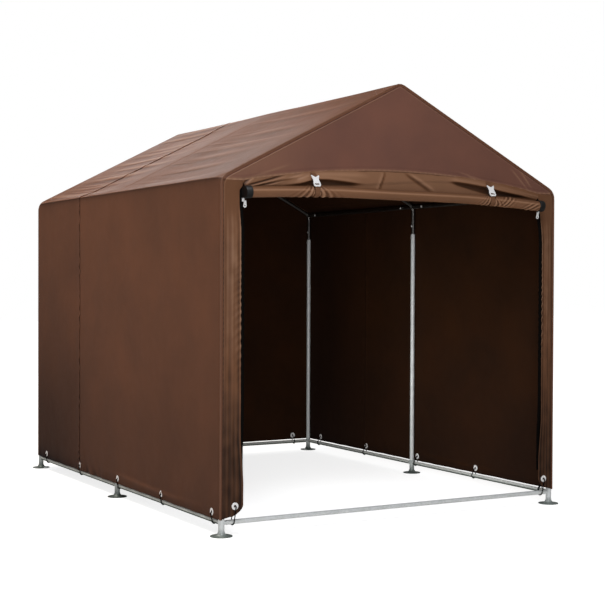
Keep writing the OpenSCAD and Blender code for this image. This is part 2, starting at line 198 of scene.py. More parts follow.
def ramp(tree, value, *stops):
    """A ramp between two stops, each a place and a hex colour."""
    node = add_node(tree, "ShaderNodeValToRGB", [("Fac", *value)])
    for element, (place, hex_code) in zip(node.color_ramp.elements, stops):
        element.position = place
        element.color = to_linear(hex_code)
    return node

def blend(tree, factor, colour, hex_code):
    """Mixes a fixed colour into another by a factor."""
    links = [(0, *factor), (6, *colour)]
    return add_node(tree, "ShaderNodeMix", links, {7: to_linear(hex_code)}, data_type="RGBA")

def bump(tree, height, strength, distance, under=None):
    links = [("Height", height, 0)] + ([("Normal", under, 0)] if under else [])
    return add_node(tree, "ShaderNodeBump", links, {"Strength": strength, "Distance": distance})

def map_range(tree, value, low, high):
    return add_node(tree, "ShaderNodeMapRange", [("Value", *value)], {"To Min": low, "To Max": high})

def cloth_material(name, light_hex, dark_hex, roughness, highlight_hex="#A17D69"):
    material, tree, shader = new_material(name)
    uv = add_node(tree, "ShaderNodeUVMap", uv_map="cloth")
    blotch = noise(tree, (uv, 0), 1000 / BLOTCH_MM, 4.0, 0.6)
    colours = ramp(tree, (blotch, 0), (0.35, dark_hex), (0.68, light_hex))
    # Painted light: the dark attribute mixes in painted shade above 0, and the painted highlight colour below
    # 0.
    painted_light_attribute = add_node(tree, "ShaderNodeAttribute", attribute_name="dark")
    painted_highlight_amount = add_node(tree, "ShaderNodeMath", [(0, painted_light_attribute, "Fac")], {1: -1.0}, operation="MULTIPLY")
    paler = blend(tree, (painted_highlight_amount, 0), (colours, 0), highlight_hex)
    shaded = blend(tree, (painted_light_attribute, "Fac"), (paler, 2), SHADE_HEX)
    threads = []
    for way in ("X", "Y"):
        threads.append(add_node(tree, "ShaderNodeTexWave", [("Vector", uv, 0)], WEAVE, bands_direction=way))
    crossing = [(0, threads[0], 1), (1, threads[1], 1)]
    weave = add_node(tree, "ShaderNodeMath", crossing, operation="MULTIPLY")
    crinkle = noise(tree, (uv, 0), 1000 / CRINKLE_MM, 5.0, 0.55)
    bumps = bump(tree, crinkle, 0.25, 3 * MM, bump(tree, weave, 0.12, 0.4 * MM))
    gloss = map_range(tree, (crinkle, 0), roughness - 0.06, roughness + 0.08)
    tree.links.new(shaded.outputs[2], shader.inputs["Base Color"])
    tree.links.new(bumps.outputs[0], shader.inputs["Normal"])
    tree.links.new(gloss.outputs[0], shader.inputs["Roughness"])
    shader.inputs["IOR"].default_value = 1.45
    shader.inputs["Specular IOR Level"].default_value = 0.2
    return material

cover_cloth = cloth_material("coated polyester, brown face", "#784D36", "#6D4733", 0.5)
# Painted sheen: the gable's copy of the cloth is a greyer, bluer brown with its own highlight colour.
gable_cloth = cloth_material("coated polyester, brown face with painted sheen", "#785041", "#6D4A3E", 0.5, "#A57F60")
# Painted sheen: the strips' copy of the cloth is a slightly yellower brown with a golden highlight colour.
strip_cloth = cloth_material("coated polyester, brown face with painted golden sheen", "#785036", "#6B4831", 0.5, "#A57F63")
# The roll's copy of the cloth is glossier, with its own colour for the painted highlight band along the roll.
roll_cloth = cloth_material("coated polyester, polished by rolling", "#785137", "#6B4831", 0.4, "#A87F62")
# Painted shade: the inner face of the cloth is drawn much darker, for the shade inside the shelter.
inner_face_shade = cloth_material("coated polyester, inner face in painted shade", "#351A04", "#2B1504", 0.85, "#351A04")
webbing = cloth_material("polyester webbing, brown", "#7E573D", "#6D4A33", 0.6)
# The binding is a brown tape, a little lighter than the cover as a painted highlight on the welt.
binding = cloth_material("polyester binding tape, brown, lighter as painted highlight", "#7D5641", "#714E3B", 0.45)
print("cloth", cover_cloth.name, "/", inner_face_shade.name)

# %% [markdown]
# The tubes are galvanised steel: a zinc skin with a faint crystal pattern, called spangle, about 12 mm
# across. Out of doors it turns a dull white, so most of it is hardly a mirror. The tubes and fittings
# under the roof get a darker copy of the steel that mirrors the dark inside, as painted shade. The
# feet and the undersides of the side and back base rails get painted shade toward the ground, the
# front feet less and the front rail none. The plastics are moulded with a fine grain that makes their
# highlights broad. Cord and zip tape are fibres, and have almost none.

# %% Steel, plastics and cord
SPANGLE_MM = 12.0

def steel_material(name, light_hex, dark_hex, metallic, smooth=0.36, shade_below=None):
    """Zinc-coated steel; the last argument gives a painted shade colour near the ground, and the heights
    between which it fades.
    """
    material, tree, shader = new_material(name)
    place = add_node(tree, "ShaderNodeTexCoord")
    crystals = {"Scale": 1000 / SPANGLE_MM}
    spangle = add_node(tree, "ShaderNodeTexVoronoi", [("Vector", place, "Object")], crystals)
    cloud = noise(tree, (place, "Object"), 9.0, 3.0)
    layers = [(2, spangle, "Color"), (3, cloud, 0)]
    grain = add_node(tree, "ShaderNodeMix", layers, {0: 0.6}, data_type="FLOAT")
    node, output = ramp(tree, (grain, 0), (0.25, dark_hex), (0.75, light_hex)), 0
    if shade_below:
        low_hex, low_z, high_z = shade_below
        height = add_node(tree, "ShaderNodeSeparateXYZ", [(0, place, "Object")])
        span = {"From Min": low_z, "From Max": high_z, "To Min": 1.0, "To Max": 0.0}
        # Painted shade, fading in toward the ground.
        shade_fade = add_node(tree, "ShaderNodeMapRange", [("Value", height, 2)], span)
        node, output = blend(tree, (shade_fade, 0), (node, output), low_hex), 2
    dull = map_range(tree, (grain, 0), smooth, smooth + 0.06)
    tree.links.new(node.outputs[output], shader.inputs["Base Color"])
    tree.links.new(dull.outputs[0], shader.inputs["Roughness"])
    shader.inputs["Metallic"].default_value = metallic
    return material

def moulded_material(name, hex_code, roughness, pit_mm, shine=0.5):
    material, tree, shader = new_material(name)
    place = add_node(tree, "ShaderNodeTexCoord")
    pits = noise(tree, (place, "Object"), 1000 / pit_mm, 2.0)
    relief = bump(tree, pits, 0.15, 0.2 * MM)
    gloss = map_range(tree, (pits, 0), roughness - 0.06, roughness + 0.06)
    tree.links.new(relief.outputs[0], shader.inputs["Normal"])
    tree.links.new(gloss.outputs[0], shader.inputs["Roughness"])
    shader.inputs["Base Color"].default_value = to_linear(hex_code)
    shader.inputs["Specular IOR Level"].default_value = shine
    return material

rail_z = middle("left_base_rails").z
# Painted shade below the rail axis, and near the ground on the feet: darker on the middle and back feet,
# lighter on the front ones.
rail_underside_shade = ("#4F5A50", rail_z - 4 * MM, rail_z + 4 * MM)
shaded_foot_plate, lit_foot_plate = ("#69726C", 10 * MM, 55 * MM), ("#858E88", 6 * MM, 36 * MM)
galvanised = steel_material("galvanised steel tube", "#F5F6F3", "#E3E6E2", 0.12)
rail_shaded_below = steel_material(
    "galvanised steel tube, painted shade below", "#F5F6EF", "#E6E8E0", 0.12, shade_below=rail_underside_shade
)
shaded_foot_steel = steel_material(
    "galvanised steel foot, painted shade", "#CFD3D0", "#BEC3C0", 0.2, shade_below=shaded_foot_plate
)
lit_foot_steel = steel_material("galvanised steel foot, less painted shade", "#F3F5F3", "#E2E5E2", 0.12, shade_below=lit_foot_plate)
# Painted shade: the tubes and fittings under the roof get a darker, mirror-like copy of the steel.
shaded_steel = steel_material("galvanised steel tube, painted shade under the roof", "#8A8681", "#75716C", 1.0, 0.34)
zinc = steel_material("zinc plated fastener", "#EDEDE9", "#CFCFCB", 0.3)
nickel = steel_material("nickel plated eyelet", "#FFFDFA", "#F4F1EC", 0.05)
cap_plastic = moulded_material("polypropylene, black", "#141413", 0.5, 1.2)
white_plastic = moulded_material("acetal, white", "#F4F3F0", 0.32, 1.5)
zip_black = moulded_material("polyester zip tape, black", "#0C0907", 0.85, 0.9, 0.08)
cord_sleeve = moulded_material("elastic cord, black braid", "#080707", 0.85, 1.6, 0.15)

def steel_of(name):
    """The steel of a CAD node by its name, or None for a node that isn't steel."""
    # Tubes and fittings under the roof get the painted-shade copy of the steel.
    if name.endswith(("eave_rails", "ridge_rails", "rafters", "fitting")):
        return shaded_steel
    # The front feet get the lighter copy and the other feet the shaded copy; the side and back base rails get
    # painted shade below.
    if name.endswith("foot"):
        return lit_foot_steel if name.startswith("front") else shaded_foot_steel
    if name.endswith("base_rails") or name == "back_base_rail":
        return rail_shaded_below
    return galvanised if name.endswith(("leg", "rail")) else None

steel_nodes = [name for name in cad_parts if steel_of(name)]
for name in steel_nodes:
    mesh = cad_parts[name].data
    mesh.materials.clear()
    mesh.materials.append(steel_of(name))
    for polygon in mesh.polygons:
        polygon.material_index = 0
print("steel nodes", len(steel_nodes))

# %% [markdown]
# ## Cloth by numbers
# A sewn sheet is easiest to hold as a grid of points: one direction runs along the cloth, the other
# across it. First the grid is laid on the frame, then every point is pushed along the cloth's own normal
# to make its folds. A Solidify modifier gives it thickness, with the dark painted-shade material inside.

# %% Grid helpers
def spaced(start, stop, spots, fine, coarse, reach):
    """Places from start to stop, close together at the spots and further apart away from them."""
    places, at = [start], start
    while True:
        near = min([abs(at - spot) for spot in spots] + [reach])
        at += fine + (coarse - fine) * near / reach
        if at >= stop - fine / 2:
            break
        places.append(at)
    return np.array(places + [stop])

def soft_step(x, low, high):
    t = np.clip((x - low) / (high - low), 0, 1)
    return t * t * (3 - 2 * t)

def bell(x, width):
    return np.exp(-((x / width) ** 2))

def ripples(seed, count, a_size, b_size, a, b):
    """Irregular waves of about the given sizes along a and b, between -1 and 1 for the most part."""
    draw = np.random.default_rng(seed)
    height = np.zeros(np.broadcast(a, b).shape)
    for _ in range(count):
        turn = draw.uniform(0, 2 * math.pi)
        stretch = draw.uniform(0.6, 1.6)
        height += np.cos(
            2 * math.pi * (a * math.cos(turn) / a_size + b * math.sin(turn) / b_size) * stretch
            + draw.uniform(0, 2 * math.pi)
        )
    return height / math.sqrt(2 * count)

def normals_of(grid):
    across, along = np.gradient(grid, axis=0), np.gradient(grid, axis=1)
    normal = np.cross(across, along)
    return normal / np.maximum(np.linalg.norm(normal, axis=2, keepdims=True), 1e-12)

def pick(*pieces):
    """Selects these pieces alone, with the first one active."""
    bpy.ops.object.select_all(action="DESELECT")
    for piece in pieces:
        piece.select_set(True)
    bpy.context.view_layer.objects.active = pieces[0]

def belongs(piece, slot, *nodes):
    """Hangs a finished piece on the root body, hides the CAD nodes it stands for and prints its faces; slot
    is not used.
    """
    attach(piece, "root")
    if nodes:
        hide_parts(*nodes)
    print(piece.name, len(piece.data.polygons), "faces")

def sheet_object(name, grid, uv, materials, thickness=None, dark=None):
    """Makes a smooth sheet from a grid of points, thickened behind its outer face if a thickness is given."""
    rows, columns = grid.shape[:2]
    index = np.arange(rows * columns).reshape(rows, columns)
    quads = np.stack([index[:-1, :-1], index[1:, :-1], index[1:, 1:], index[:-1, 1:]], axis=-1).reshape(-1, 4)
    mesh = bpy.data.meshes.new(name)
    mesh.from_pydata(grid.reshape(-1, 3).tolist(), [], quads.tolist())
    layer = mesh.uv_layers.new(name="cloth")
    layer.data.foreach_set("uv", uv.reshape(-1, 2)[quads.ravel()].ravel().astype(np.float32))
    if dark is not None:
        shade = mesh.attributes.new("dark", "FLOAT", "POINT")
        shade.data.foreach_set("value", np.clip(dark, -0.7, 1).ravel().astype(np.float32))
    mesh.shade_smooth()
    piece = bpy.data.objects.new(name, mesh)
    bpy.context.scene.collection.objects.link(piece)
    for material in materials:
        mesh.materials.append(material)
    if thickness:
        pick(piece)
        wall = piece.modifiers.new("thickness", "SOLIDIFY")
        wall.thickness, wall.offset, wall.material_offset = thickness, -1, len(materials) - 1
        bpy.ops.object.modifier_apply(modifier=wall.name)
    return piece

CLOTH_T = 0.8 * MM

# %% [markdown]
# ## The main cover
# One long cloth goes up the left wall, over the roof and down the right wall. At both ends it is sewn to
# a panel cut like a rib, with wide round corners. Further in it is folded along the eave, in one crisp
# line from end to end. The grid therefore blends two outlines, one with round corners and one with sharp
# ones. The photograph shows the eaves 8 mm above the frame's own bend, so the cloth's eave is raised by
# that much, and the slope of the cloth is worked out again from the ridge.

# %% Cover outlines
def bent_line(corners, radii):
    """Points along corners, each rounded to its own radius, and the index of the middle of each bend."""
    points, middles = [corners[0]], []
    for before, corner, after, radius in zip(corners, corners[1:], corners[2:], radii):
        into, out = corner - before, after - corner
        into, out = into / np.linalg.norm(into), out / np.linalg.norm(out)
        turn = math.acos(np.clip(into @ out, -1, 1))
        back = radius * math.tan(turn / 2)
        inward = (out - into) / np.linalg.norm(out - into)
        centre = corner + inward * radius / math.cos(turn / 2)
        start = corner - into * back - centre
        for step in np.linspace(0, 1, 17):
            side = -1 if into[0] * out[1] - into[1] * out[0] < 0 else 1
            c, s = math.cos(turn * step), side * math.sin(turn * step)
            points.append(centre + np.array([c * start[0] - s * start[1], s * start[0] + c * start[1]]))
            if step == 0.5:
                middles.append(len(points) - 1)
    points.append(corners[-1])
    return np.array(points), middles

def outline_at(line, share):
    """Places on an outline, with the bends' middles always at the same shares of the whole."""
    points, middles = line
    along = np.concatenate([[0], np.cumsum(np.linalg.norm(np.diff(points, axis=0), axis=1))])
    marks = [0] + [along[m] for m in middles] + [along[-1]]
    where = np.interp(share, SHARES, marks)
    return np.stack([np.interp(where, along, points[:, 0]), np.interp(where, along, points[:, 1])], axis=-1)

EAVE_LIFT = 8 * MM
skin = wall_x - leg_x
bend_r = EAVE_R + skin
apex_z = eave_z + bend_r * math.tan((math.pi / 2 - PITCH) / 2) + wall_x * math.tan(PITCH)
eave_z += EAVE_LIFT
cloth_pitch = PITCH
for _ in range(30):
    eave_corner_z = eave_z + bend_r * math.tan((math.pi / 2 - cloth_pitch) / 2)
    cloth_pitch = math.atan((apex_z - eave_corner_z) / wall_x)
CREASE_R = 4 * MM
right = [(wall_x, eave_corner_z), (wall_x, hem_z)]
left = [(-px, pz) for px, pz in reversed(right)]
corners = [np.array(p) for p in left + [(0, apex_z)] + right]
rib_line = bent_line(corners, [bend_r, RIDGE_R + skin, bend_r])
bay_line = bent_line(corners, [CREASE_R, RIDGE_R + skin, CREASE_R])
lengths = np.concatenate([[0], np.cumsum(np.linalg.norm(np.diff(rib_line[0], axis=0), axis=1))])
COVER_LENGTH = lengths[-1]
SHARES = np.array([0] + [lengths[m] for m in rib_line[1]] + [COVER_LENGTH]) / COVER_LENGTH
eave_s, ridge_s = SHARES[1] * COVER_LENGTH, SHARES[2] * COVER_LENGTH
print("cover, hem to hem", round(COVER_LENGTH, 3), "eave and ridge at", round(eave_s, 3), round(ridge_s, 3))

# %% [markdown]
# Now the folds. Real cloth like this shows a few kinds: long streaks along the roof where it is pulled
# between the ribs, puckers along the sewn seam, short upright wrinkles at the hem between the ties, and
# soft waves everywhere. Each kind is one term of a height in millimetres, and they are simply added. The
# paint is a second sum of the same kind, and it is painted light: painted shade that grows toward the
# ground, a painted shadow under the eave, painted shade in the folds and painted highlights on the crests.

# %% Folds of the cover
SEAM_Y = rib_y[1] + 0.545
EDGE_R = 12 * MM
side_tie_y = [rib_y[0] + (70 + 580 * i) * MM for i in range(5)]
# Creases of the roof: count, middle and half length along y, height in mm, half width
STREAKS = (
    (7, -0.52, 0.44, 1.5, 26 * MM),
    (9, 0.72, 0.48, 2.2, 22 * MM),
    (13, 0.8, 0.26, 1.5, 10 * MM),
    (8, -0.3, 0.24, 1.1, 10 * MM),
)

def roof_streaks(seed, s, y):
    """Lengthwise creases: soft and few before the middle rib, closer and sharper behind it."""
    draw = np.random.default_rng(seed)
    height = np.zeros(s.shape)
    for side in (-1, 1):
        for count, middle_y, half, size, width in STREAKS:
            for i in range(count):
                place = ridge_s + side * (ridge_s - eave_s) * (i + draw.uniform(0.25, 0.75)) / count
                centre, length = middle_y + draw.uniform(-0.2, 0.2), half * draw.uniform(0.6, 1.1)
                high, wide = size * draw.uniform(0.6, 1.25), width * draw.uniform(0.7, 1.2)
                off = s - place - draw.uniform(-0.05, 0.05) * (y - centre)
                shape = bell(off, wide) - 0.6 * bell(off - side * 1.7 * wide, 1.2 * wide)
                height += high * shape * bell(y - centre, length)
        off = s - ridge_s - side * (ridge_s - eave_s) * 0.5 - 0.01 * y
        height += 2.0 * bell(off, 8 * MM) * bell(y + 0.55, 0.36)
    return height

def hem_pleats(s, y):
    """Short upright pleats at the hem near the seam, and one long soft fold above it further forward."""
    from_hem = np.minimum(s, COVER_LENGTH - s)
    wave = np.cos(2 * math.pi * (y + 0.25 * from_hem) / 0.034 + 2 * np.sin(y * 17))
    short = wave * np.exp(-from_hem / 0.035) * bell(y - SEAM_Y + 0.17, 0.26)
    long = bell(from_hem - 0.048 - 0.012 * np.sin(y * 3.1 + 0.5), 11 * MM) * bell(y + 0.45, 0.45)
    return short + long

def nearest(y, places):
    """Distance from y to the nearest of the places."""
    return np.abs(y - np.array(places)[:, None, None]).min(axis=0)

def cover_folds(s, y):
    from_hem = np.minimum(s, COVER_LENGTH - s)
    on_roof = soft_step(from_hem, eave_s + 0.015, eave_s + 0.09)
    on_wall = 1 - soft_step(from_hem, eave_s - 0.12, eave_s - 0.02)
    between = nearest(y, rib_y)
    inside = soft_step(between, 0.0, 0.14)
    off_ridge = soft_step(np.abs(s - ridge_s), 0.02, 0.25)
    height = roof_streaks(11, s, y) * on_roof * (0.35 + 0.65 * inside) * (0.3 + 0.7 * off_ridge)
    height -= (2.4 + 5.6 * off_ridge) * soft_step(between, 0.0, 0.42) * on_roof
    height += ripples(3, 14, 0.5, 0.9, s, y) * 1.0 * on_roof * inside * off_ridge
    height += ripples(5, 16, 0.75, 0.55, s, y) * 2.2 * on_wall * inside * soft_step(from_hem, 0.05, 0.4)
    height += ripples(6, 16, 0.2, 0.16, s, y) * 0.35 * on_wall
    tie = nearest(y, side_tie_y)
    low = np.exp(-from_hem / 0.055)
    height += low * (2.6 * np.cos(y * 2 * math.pi / 0.19 + 1.3 * np.sin(y * 5)) * soft_step(tie, 0.0, 0.09))
    height += np.exp(-from_hem / 0.13) * ripples(8, 14, 0.5, 0.085, s, y) * 1.1
    height += 0.7 * soft_step(from_hem, 0.034, 0.030) - 0.6 * bell(from_hem - 0.031, 2.2 * MM)
    seam = np.abs(y - SEAM_Y)
    height += 2.2 * seam_pucker(s) * np.exp(-seam / 0.03) * on_wall
    height += 1.6 * ripples(9, 10, 0.12, 0.3, s, y) * np.exp(-seam / 0.08) * on_wall
    height += 2.0 * bell(y - rib_y[1], 14 * MM) * on_roof * off_ridge
    height += 2.6 * hem_pleats(s, y)
    return height

def seam_pucker(s):
    """Gathers of the seam thread, between -1 and 1, about 37 mm apart and uneven."""
    return np.cos(2 * math.pi * s / 0.037 + 2.0 * np.sin(s * 9)) * (0.6 + 0.4 * np.sin(s * 23))

def cover_dark(s, y):
    """Painted light: shadow under the eave fold and a highlight above it, shade toward the ground and back,
    behind the seam and at the hem, and highlights on the creases and middle rib.
    """
    from_hem = np.minimum(s, COVER_LENGTH - s)
    under = eave_s - from_hem
    above = soft_step(-under, 0.0, 0.006)
    # Painted shadow under the eave fold, and a painted highlight on the roof just above it.
    fold = np.where(under > 0, 0.6 * np.exp(-under / 0.012) + 0.14 * np.exp(-under / 0.06), 0)
    fold = fold - above * (0.14 * np.exp(under / 0.03) + 0.13 * soft_step(y, 0.0, 0.7))
    # Painted shade, darker toward the ground, and more so toward the back.
    painted_shade_low = 0.28 * soft_step(from_hem, 1.0, 0.1)
    painted_shade_low = painted_shade_low + 0.33 * soft_step(from_hem, 1.45, 0.05) * soft_step(y, 0.0, 1.2)
    # Painted shade on the wall behind the seam.
    behind = 0.10 * soft_step(y, SEAM_Y - 2 * MM, SEAM_Y + 2 * MM) * (under > 0)
    # Painted highlights on the crests and painted shade in the valleys of the roof creases; a painted
    # highlight over the middle rib.
    streaks = roof_streaks(11, s, y) * soft_step(from_hem, eave_s + 0.01, eave_s + 0.06)
    rib = 0.22 * bell(y - rib_y[1], 12 * MM) * soft_step(from_hem, eave_s, eave_s + 0.05)
    # Painted shade along the hem, paler on the crests of the hem pleats and darker between them.
    low = 0.3 * np.exp(-from_hem / 0.045) - 0.32 * hem_pleats(s, y)
    return fold + painted_shade_low + behind + low - (0.26 + 0.1 * soft_step(y, 0.1, 0.5)) * streaks - rib

# %% [markdown]
# The cover is sewn from two lengths of cloth, joined in a loop behind the middle rib. At the front and
# back it rolls over the end ribs and is sewn to the end panels, so the last 12 mm of each length turn
# through a quarter circle.

# %% Main cover in two lengths
def edge_roll(y):
    """How far the cloth has turned in, at the front and back edges."""
    front, back = np.clip(1 - (y - front_y) / EDGE_R, 0, 1), np.clip(1 - (back_y - y) / EDGE_R, 0, 1)
    return EDGE_R * (2 - np.sqrt(1 - front**2) - np.sqrt(1 - back**2))

half_places = np.concatenate(
    [
        spaced(0, eave_s - 0.05, [0.0, 0.03], 3.5 * MM, 24 * MM, 0.14)[:-1],
        np.arange(eave_s - 0.05, eave_s + 0.05, 3 * MM),
        spaced(eave_s + 0.05, ridge_s, [eave_s], 7 * MM, 7.6 * MM, 0.1)[:-1],
    ]
)
s_places = np.concatenate([half_places, [ridge_s], (COVER_LENGTH - half_places)[::-1]])

def cover_length(name, y_places, lift, shade):
    s, y = np.meshgrid(s_places, y_places, indexing="ij")
    inward = np.minimum(y_places - front_y, back_y - y_places)
    bay = (1 - np.exp(-np.maximum(inward - 9 * MM, 0) / 0.03))[None, :, None]
    flat = outline_at(rib_line, s_places / COVER_LENGTH)[:, None, :] * (1 - bay)
    flat = flat + outline_at(bay_line, s_places / COVER_LENGTH)[:, None, :] * bay
    grid = np.stack([flat[..., 0], y, flat[..., 1]], axis=-1)
    near_edge = np.minimum(y - front_y, back_y - y)
    groove = 1.6 * MM * bell(near_edge - 14 * MM, 3.5 * MM)
    height = cover_folds(s, y) * MM * soft_step(near_edge, 0.006, 0.06) - edge_roll(y) + lift(s, y) - groove
    grid = grid + normals_of(grid) * height[..., None]
    dark = cover_dark(s, y) + shade(s, y)
    return sheet_object(name, grid, np.stack([s, y], axis=-1), [cover_cloth, inner_face_shade], CLOTH_T, dark)

roll_steps = EDGE_R * (1 - np.cos(np.linspace(0, math.pi / 2, 6)))
LAP, SEAM_STEP = 16 * MM, 3.4 * MM

def seam_height(s):
    """How far the folded edge of the back length stands off the front length."""
    on_wall = soft_step(eave_s - np.minimum(s, COVER_LENGTH - s), 0.0, 0.05)
    off_ridge = 0.3 + 0.7 * soft_step(np.abs(s - ridge_s), 0.0, 0.12)
    return SEAM_STEP * (off_ridge - on_wall * (0.2 - 0.7 * seam_pucker(s)))

def tuck_under(s, y):
    return -1.8 * MM * soft_step(y, SEAM_Y - 6 * MM, SEAM_Y)

def folded_edge(s, y):
    rise = soft_step(y, SEAM_Y, SEAM_Y + 0.9 * MM)
    return seam_height(s) * rise * soft_step(y, SEAM_Y + 0.06, SEAM_Y + 0.004) - 1 * MM * (1 - rise)

# Painted shadow along the folded seam edge, darker at the gathers, with a painted highlight on the crest
# behind it.
def seam_shadow(s, y):
    gathers = 0.4 + 0.34 * seam_pucker(s)
    crest = 0.2 * bell(y - SEAM_Y - 6 * MM, 4 * MM)
    return gathers * soft_step(y, SEAM_Y + 1.2 * MM, SEAM_Y + 0.4 * MM) - crest

front_places = spaced(front_y + EDGE_R, SEAM_Y + LAP, [front_y, rib_y[1], SEAM_Y], 2 * MM, 24 * MM, 0.13)
front_places = np.concatenate([front_y + roll_steps[:-1], front_places])
back_places = spaced(SEAM_Y + 2 * MM, back_y - EDGE_R, [SEAM_Y, back_y], 2 * MM, 20 * MM, 0.12)
edge_places = SEAM_Y + np.array([0, 0.3, 0.6, 0.9, 1.3]) * MM
back_places = np.concatenate([edge_places, back_places, (back_y - roll_steps[:-1])[::-1]])
cover_front = cover_length("cover_front_length", front_places, tuck_under, lambda s, y: 0 * s)
cover_back = cover_length("cover_back_length", back_places, folded_edge, seam_shadow)
belongs(cover_front, "cover_fabric", "left_wall", "right_wall", "roof_left", "roof_right")
belongs(cover_back, "cover_fabric")

# %% [markdown]
# ## End panels
# The back is one flat panel in the shape of a rib. The front has a gable above the doorway and a narrow
# strip down each side. Each is a grid whose columns stand upright between its lower and upper edges.

# %% End panel helpers
panel_x = wall_x - EDGE_R
corner_x, corner_r = leg_x - EAVE_R, EAVE_R + skin - EDGE_R
STITCH = 26 * MM

def panel_top(x):
    """Height of the inner edge of the rolled corner above x, which the end panels are cut to."""
    x = np.abs(x)
    slope = eave_corner_z + (wall_x - x) * math.tan(cloth_pitch) - EDGE_R / math.cos(cloth_pitch)
    ridge_r = RIDGE_R + skin - EDGE_R
    ridge_mid = apex_z - (RIDGE_R + skin) / math.cos(cloth_pitch)
    ridge = ridge_mid + np.sqrt(np.maximum(ridge_r**2 - x**2, 0))
    eave = eave_z + np.sqrt(np.maximum(corner_r**2 - np.maximum(x - corner_x, 0) ** 2, 0))
    top = np.where(x < ridge_r * math.sin(cloth_pitch), ridge, slope)
    return np.where(x > corner_x + corner_r * math.sin(cloth_pitch), eave, top)

def from_edge(x, z):
    """Distance of a place on an end panel from the seam round its edge."""
    x = np.abs(x)
    slope = (eave_corner_z + (wall_x - x) * math.tan(cloth_pitch) - z) * math.cos(cloth_pitch) - EDGE_R
    apart = np.minimum(panel_x - x, slope)
    in_corner = (z > eave_z) & ((z - eave_z) * math.tan(cloth_pitch) < x - corner_x)
    return np.where(in_corner, corner_r - np.hypot(x - corner_x, z - eave_z), apart)

def edge_seam(x, z):
    """Sewn groove and the soft ridge beside it, in millimetres."""
    apart = from_edge(x, z)
    return 1.4 * bell(apart - 8 * MM, 3.5 * MM) - 1.6 * bell(apart - 2.5 * MM, 2.5 * MM)

def edge_shade(x, z):
    """Painted shade in the stitched groove, dotted along its stitches, with a painted highlight on the ridge
    beside it, weaker toward the ground.
    """
    apart = from_edge(x, z)
    stitches = 0.5 + 0.22 * np.cos(2 * math.pi * (x - z) / STITCH)
    line = stitches * bell(apart - 2.2 * MM, 1.8 * MM) - 0.24 * bell(apart - 7 * MM, 2.8 * MM)
    return line * (0.3 + 0.7 * soft_step(z, 0.3, 0.9))

def upright_panel(name, x_places, bottom, top, rows, y, outward, folds, shade, spread=None, face=cover_cloth):
    t = rows[:, None]
    x = x_places[None, :] + 0 * t
    z = bottom(x_places)[None, :] * (1 - t) + top(x_places)[None, :] * t
    across = x if spread is None else x + spread(x, z)
    grid = np.stack([across, y + outward * (folds(x, z) + edge_seam(x, z)) * MM, z], axis=-1)
    if outward < 0:
        grid, x, z = grid[:, ::-1], x[:, ::-1], z[:, ::-1]
    dark = shade(x, z) + edge_shade(x, z)
    return sheet_object(name, grid, np.stack([x, z], axis=-1), [face, inner_face_shade], CLOTH_T, dark)

# %% [markdown]
# The back has no door. It is drawn tight, with soft waves and short folds at the hem between its ties.

# %% Back panel
def back_folds(x, z):
    edge = soft_step(np.minimum(panel_x - np.abs(x), panel_top(x) - z), 0.0, 0.12)
    low = np.exp(-(z - hem_z) / 0.09)
    return (
        ripples(21, 16, 0.7, 0.8, x, z) * 3.0 * edge
        + low * 2.4 * np.cos(x * 2 * math.pi / 0.2)
        + 0.7 * soft_step(z - hem_z, 0.034, 0.030)
    )

def back_hem(x):
    return 0 * x + hem_z

# Painted shade, darker toward the hem.
def back_dark(x, z):
    return 0.3 * np.exp(-(z - hem_z) / 0.1)

back_x = spaced(-panel_x, panel_x, [-panel_x, panel_x], 6 * MM, 21 * MM, 0.12)
back_rows = np.concatenate([np.linspace(0, 0.03, 7), np.linspace(0.045, 0.97, 74), np.linspace(0.975, 1, 8)])
back_panel = upright_panel(
    "back_panel", back_x, back_hem, panel_top, back_rows, back_y, 1, back_folds, back_dark
)
belongs(back_panel, "cover_fabric", "back_wall")

# %% [markdown]
# The gable is nearly flat and tight. Its lower edge is a hem that arches over the doorway, with fine
# wrinkles that run down from the roof edge at both corners.

# %% Gable
GABLE_RISE = 75 * MM

def gable_hem(x):
    return seam_z + GABLE_RISE * np.clip(1 - (x / door_x) ** 2, 0, 1)

gable_x = corner_x + math.sqrt(corner_r**2 - (seam_z + 9 * MM - eave_z) ** 2)
# Wrinkles at the corners: both ends in x and z, height in mm, half width
GABLE_WRINKLES = (
    (0.685, 1.74, 0.790, 1.64, 2.4, 5 * MM),
    (0.725, 1.75, 0.805, 1.66, 2.0, 4 * MM),
    (0.755, 1.72, 0.822, 1.64, 1.6, 4 * MM),
    (0.350, 1.71, 0.490, 1.68, 1.5, 5 * MM),
    (0.400, 1.70, 0.455, 1.675, 1.4, 4 * MM),
    (-0.62, 1.70, -0.80, 1.64, 1.2, 6 * MM),
)

def line_wrinkles(x, z, wrinkles):
    """Soft ridges along straight lines, fading toward their ends."""
    height = np.zeros(np.broadcast(x, z).shape)
    for x0, z0, x1, z1, size, width in wrinkles:
        length = math.hypot(x1 - x0, z1 - z0)
        along = ((x - x0) * (x1 - x0) + (z - z0) * (z1 - z0)) / length**2
        aside = ((x - x0) * (z1 - z0) - (z - z0) * (x1 - x0)) / length
        height += size * bell(aside, width) * soft_step(along, -0.15, 0.25) * soft_step(along, 1.15, 0.75)
    return height

def gable_folds(x, z):
    above = z - gable_hem(x)
    edge = soft_step(panel_top(x) - z, 0.0, 0.05)
    return (
        ripples(31, 14, 0.55, 0.35, x, z) * 1.6 * edge * soft_step(above, 0.0, 0.05)
        + line_wrinkles(x, z, GABLE_WRINKLES) * edge
        + 0.5 * soft_step(above, 0.022, 0.018)
        - 0.5 * bell(above - 0.020, 2.5 * MM)
        + 1.5 * np.exp(-above / 0.03) * ripples(35, 10, 0.07, 0.2, x, z)
    )

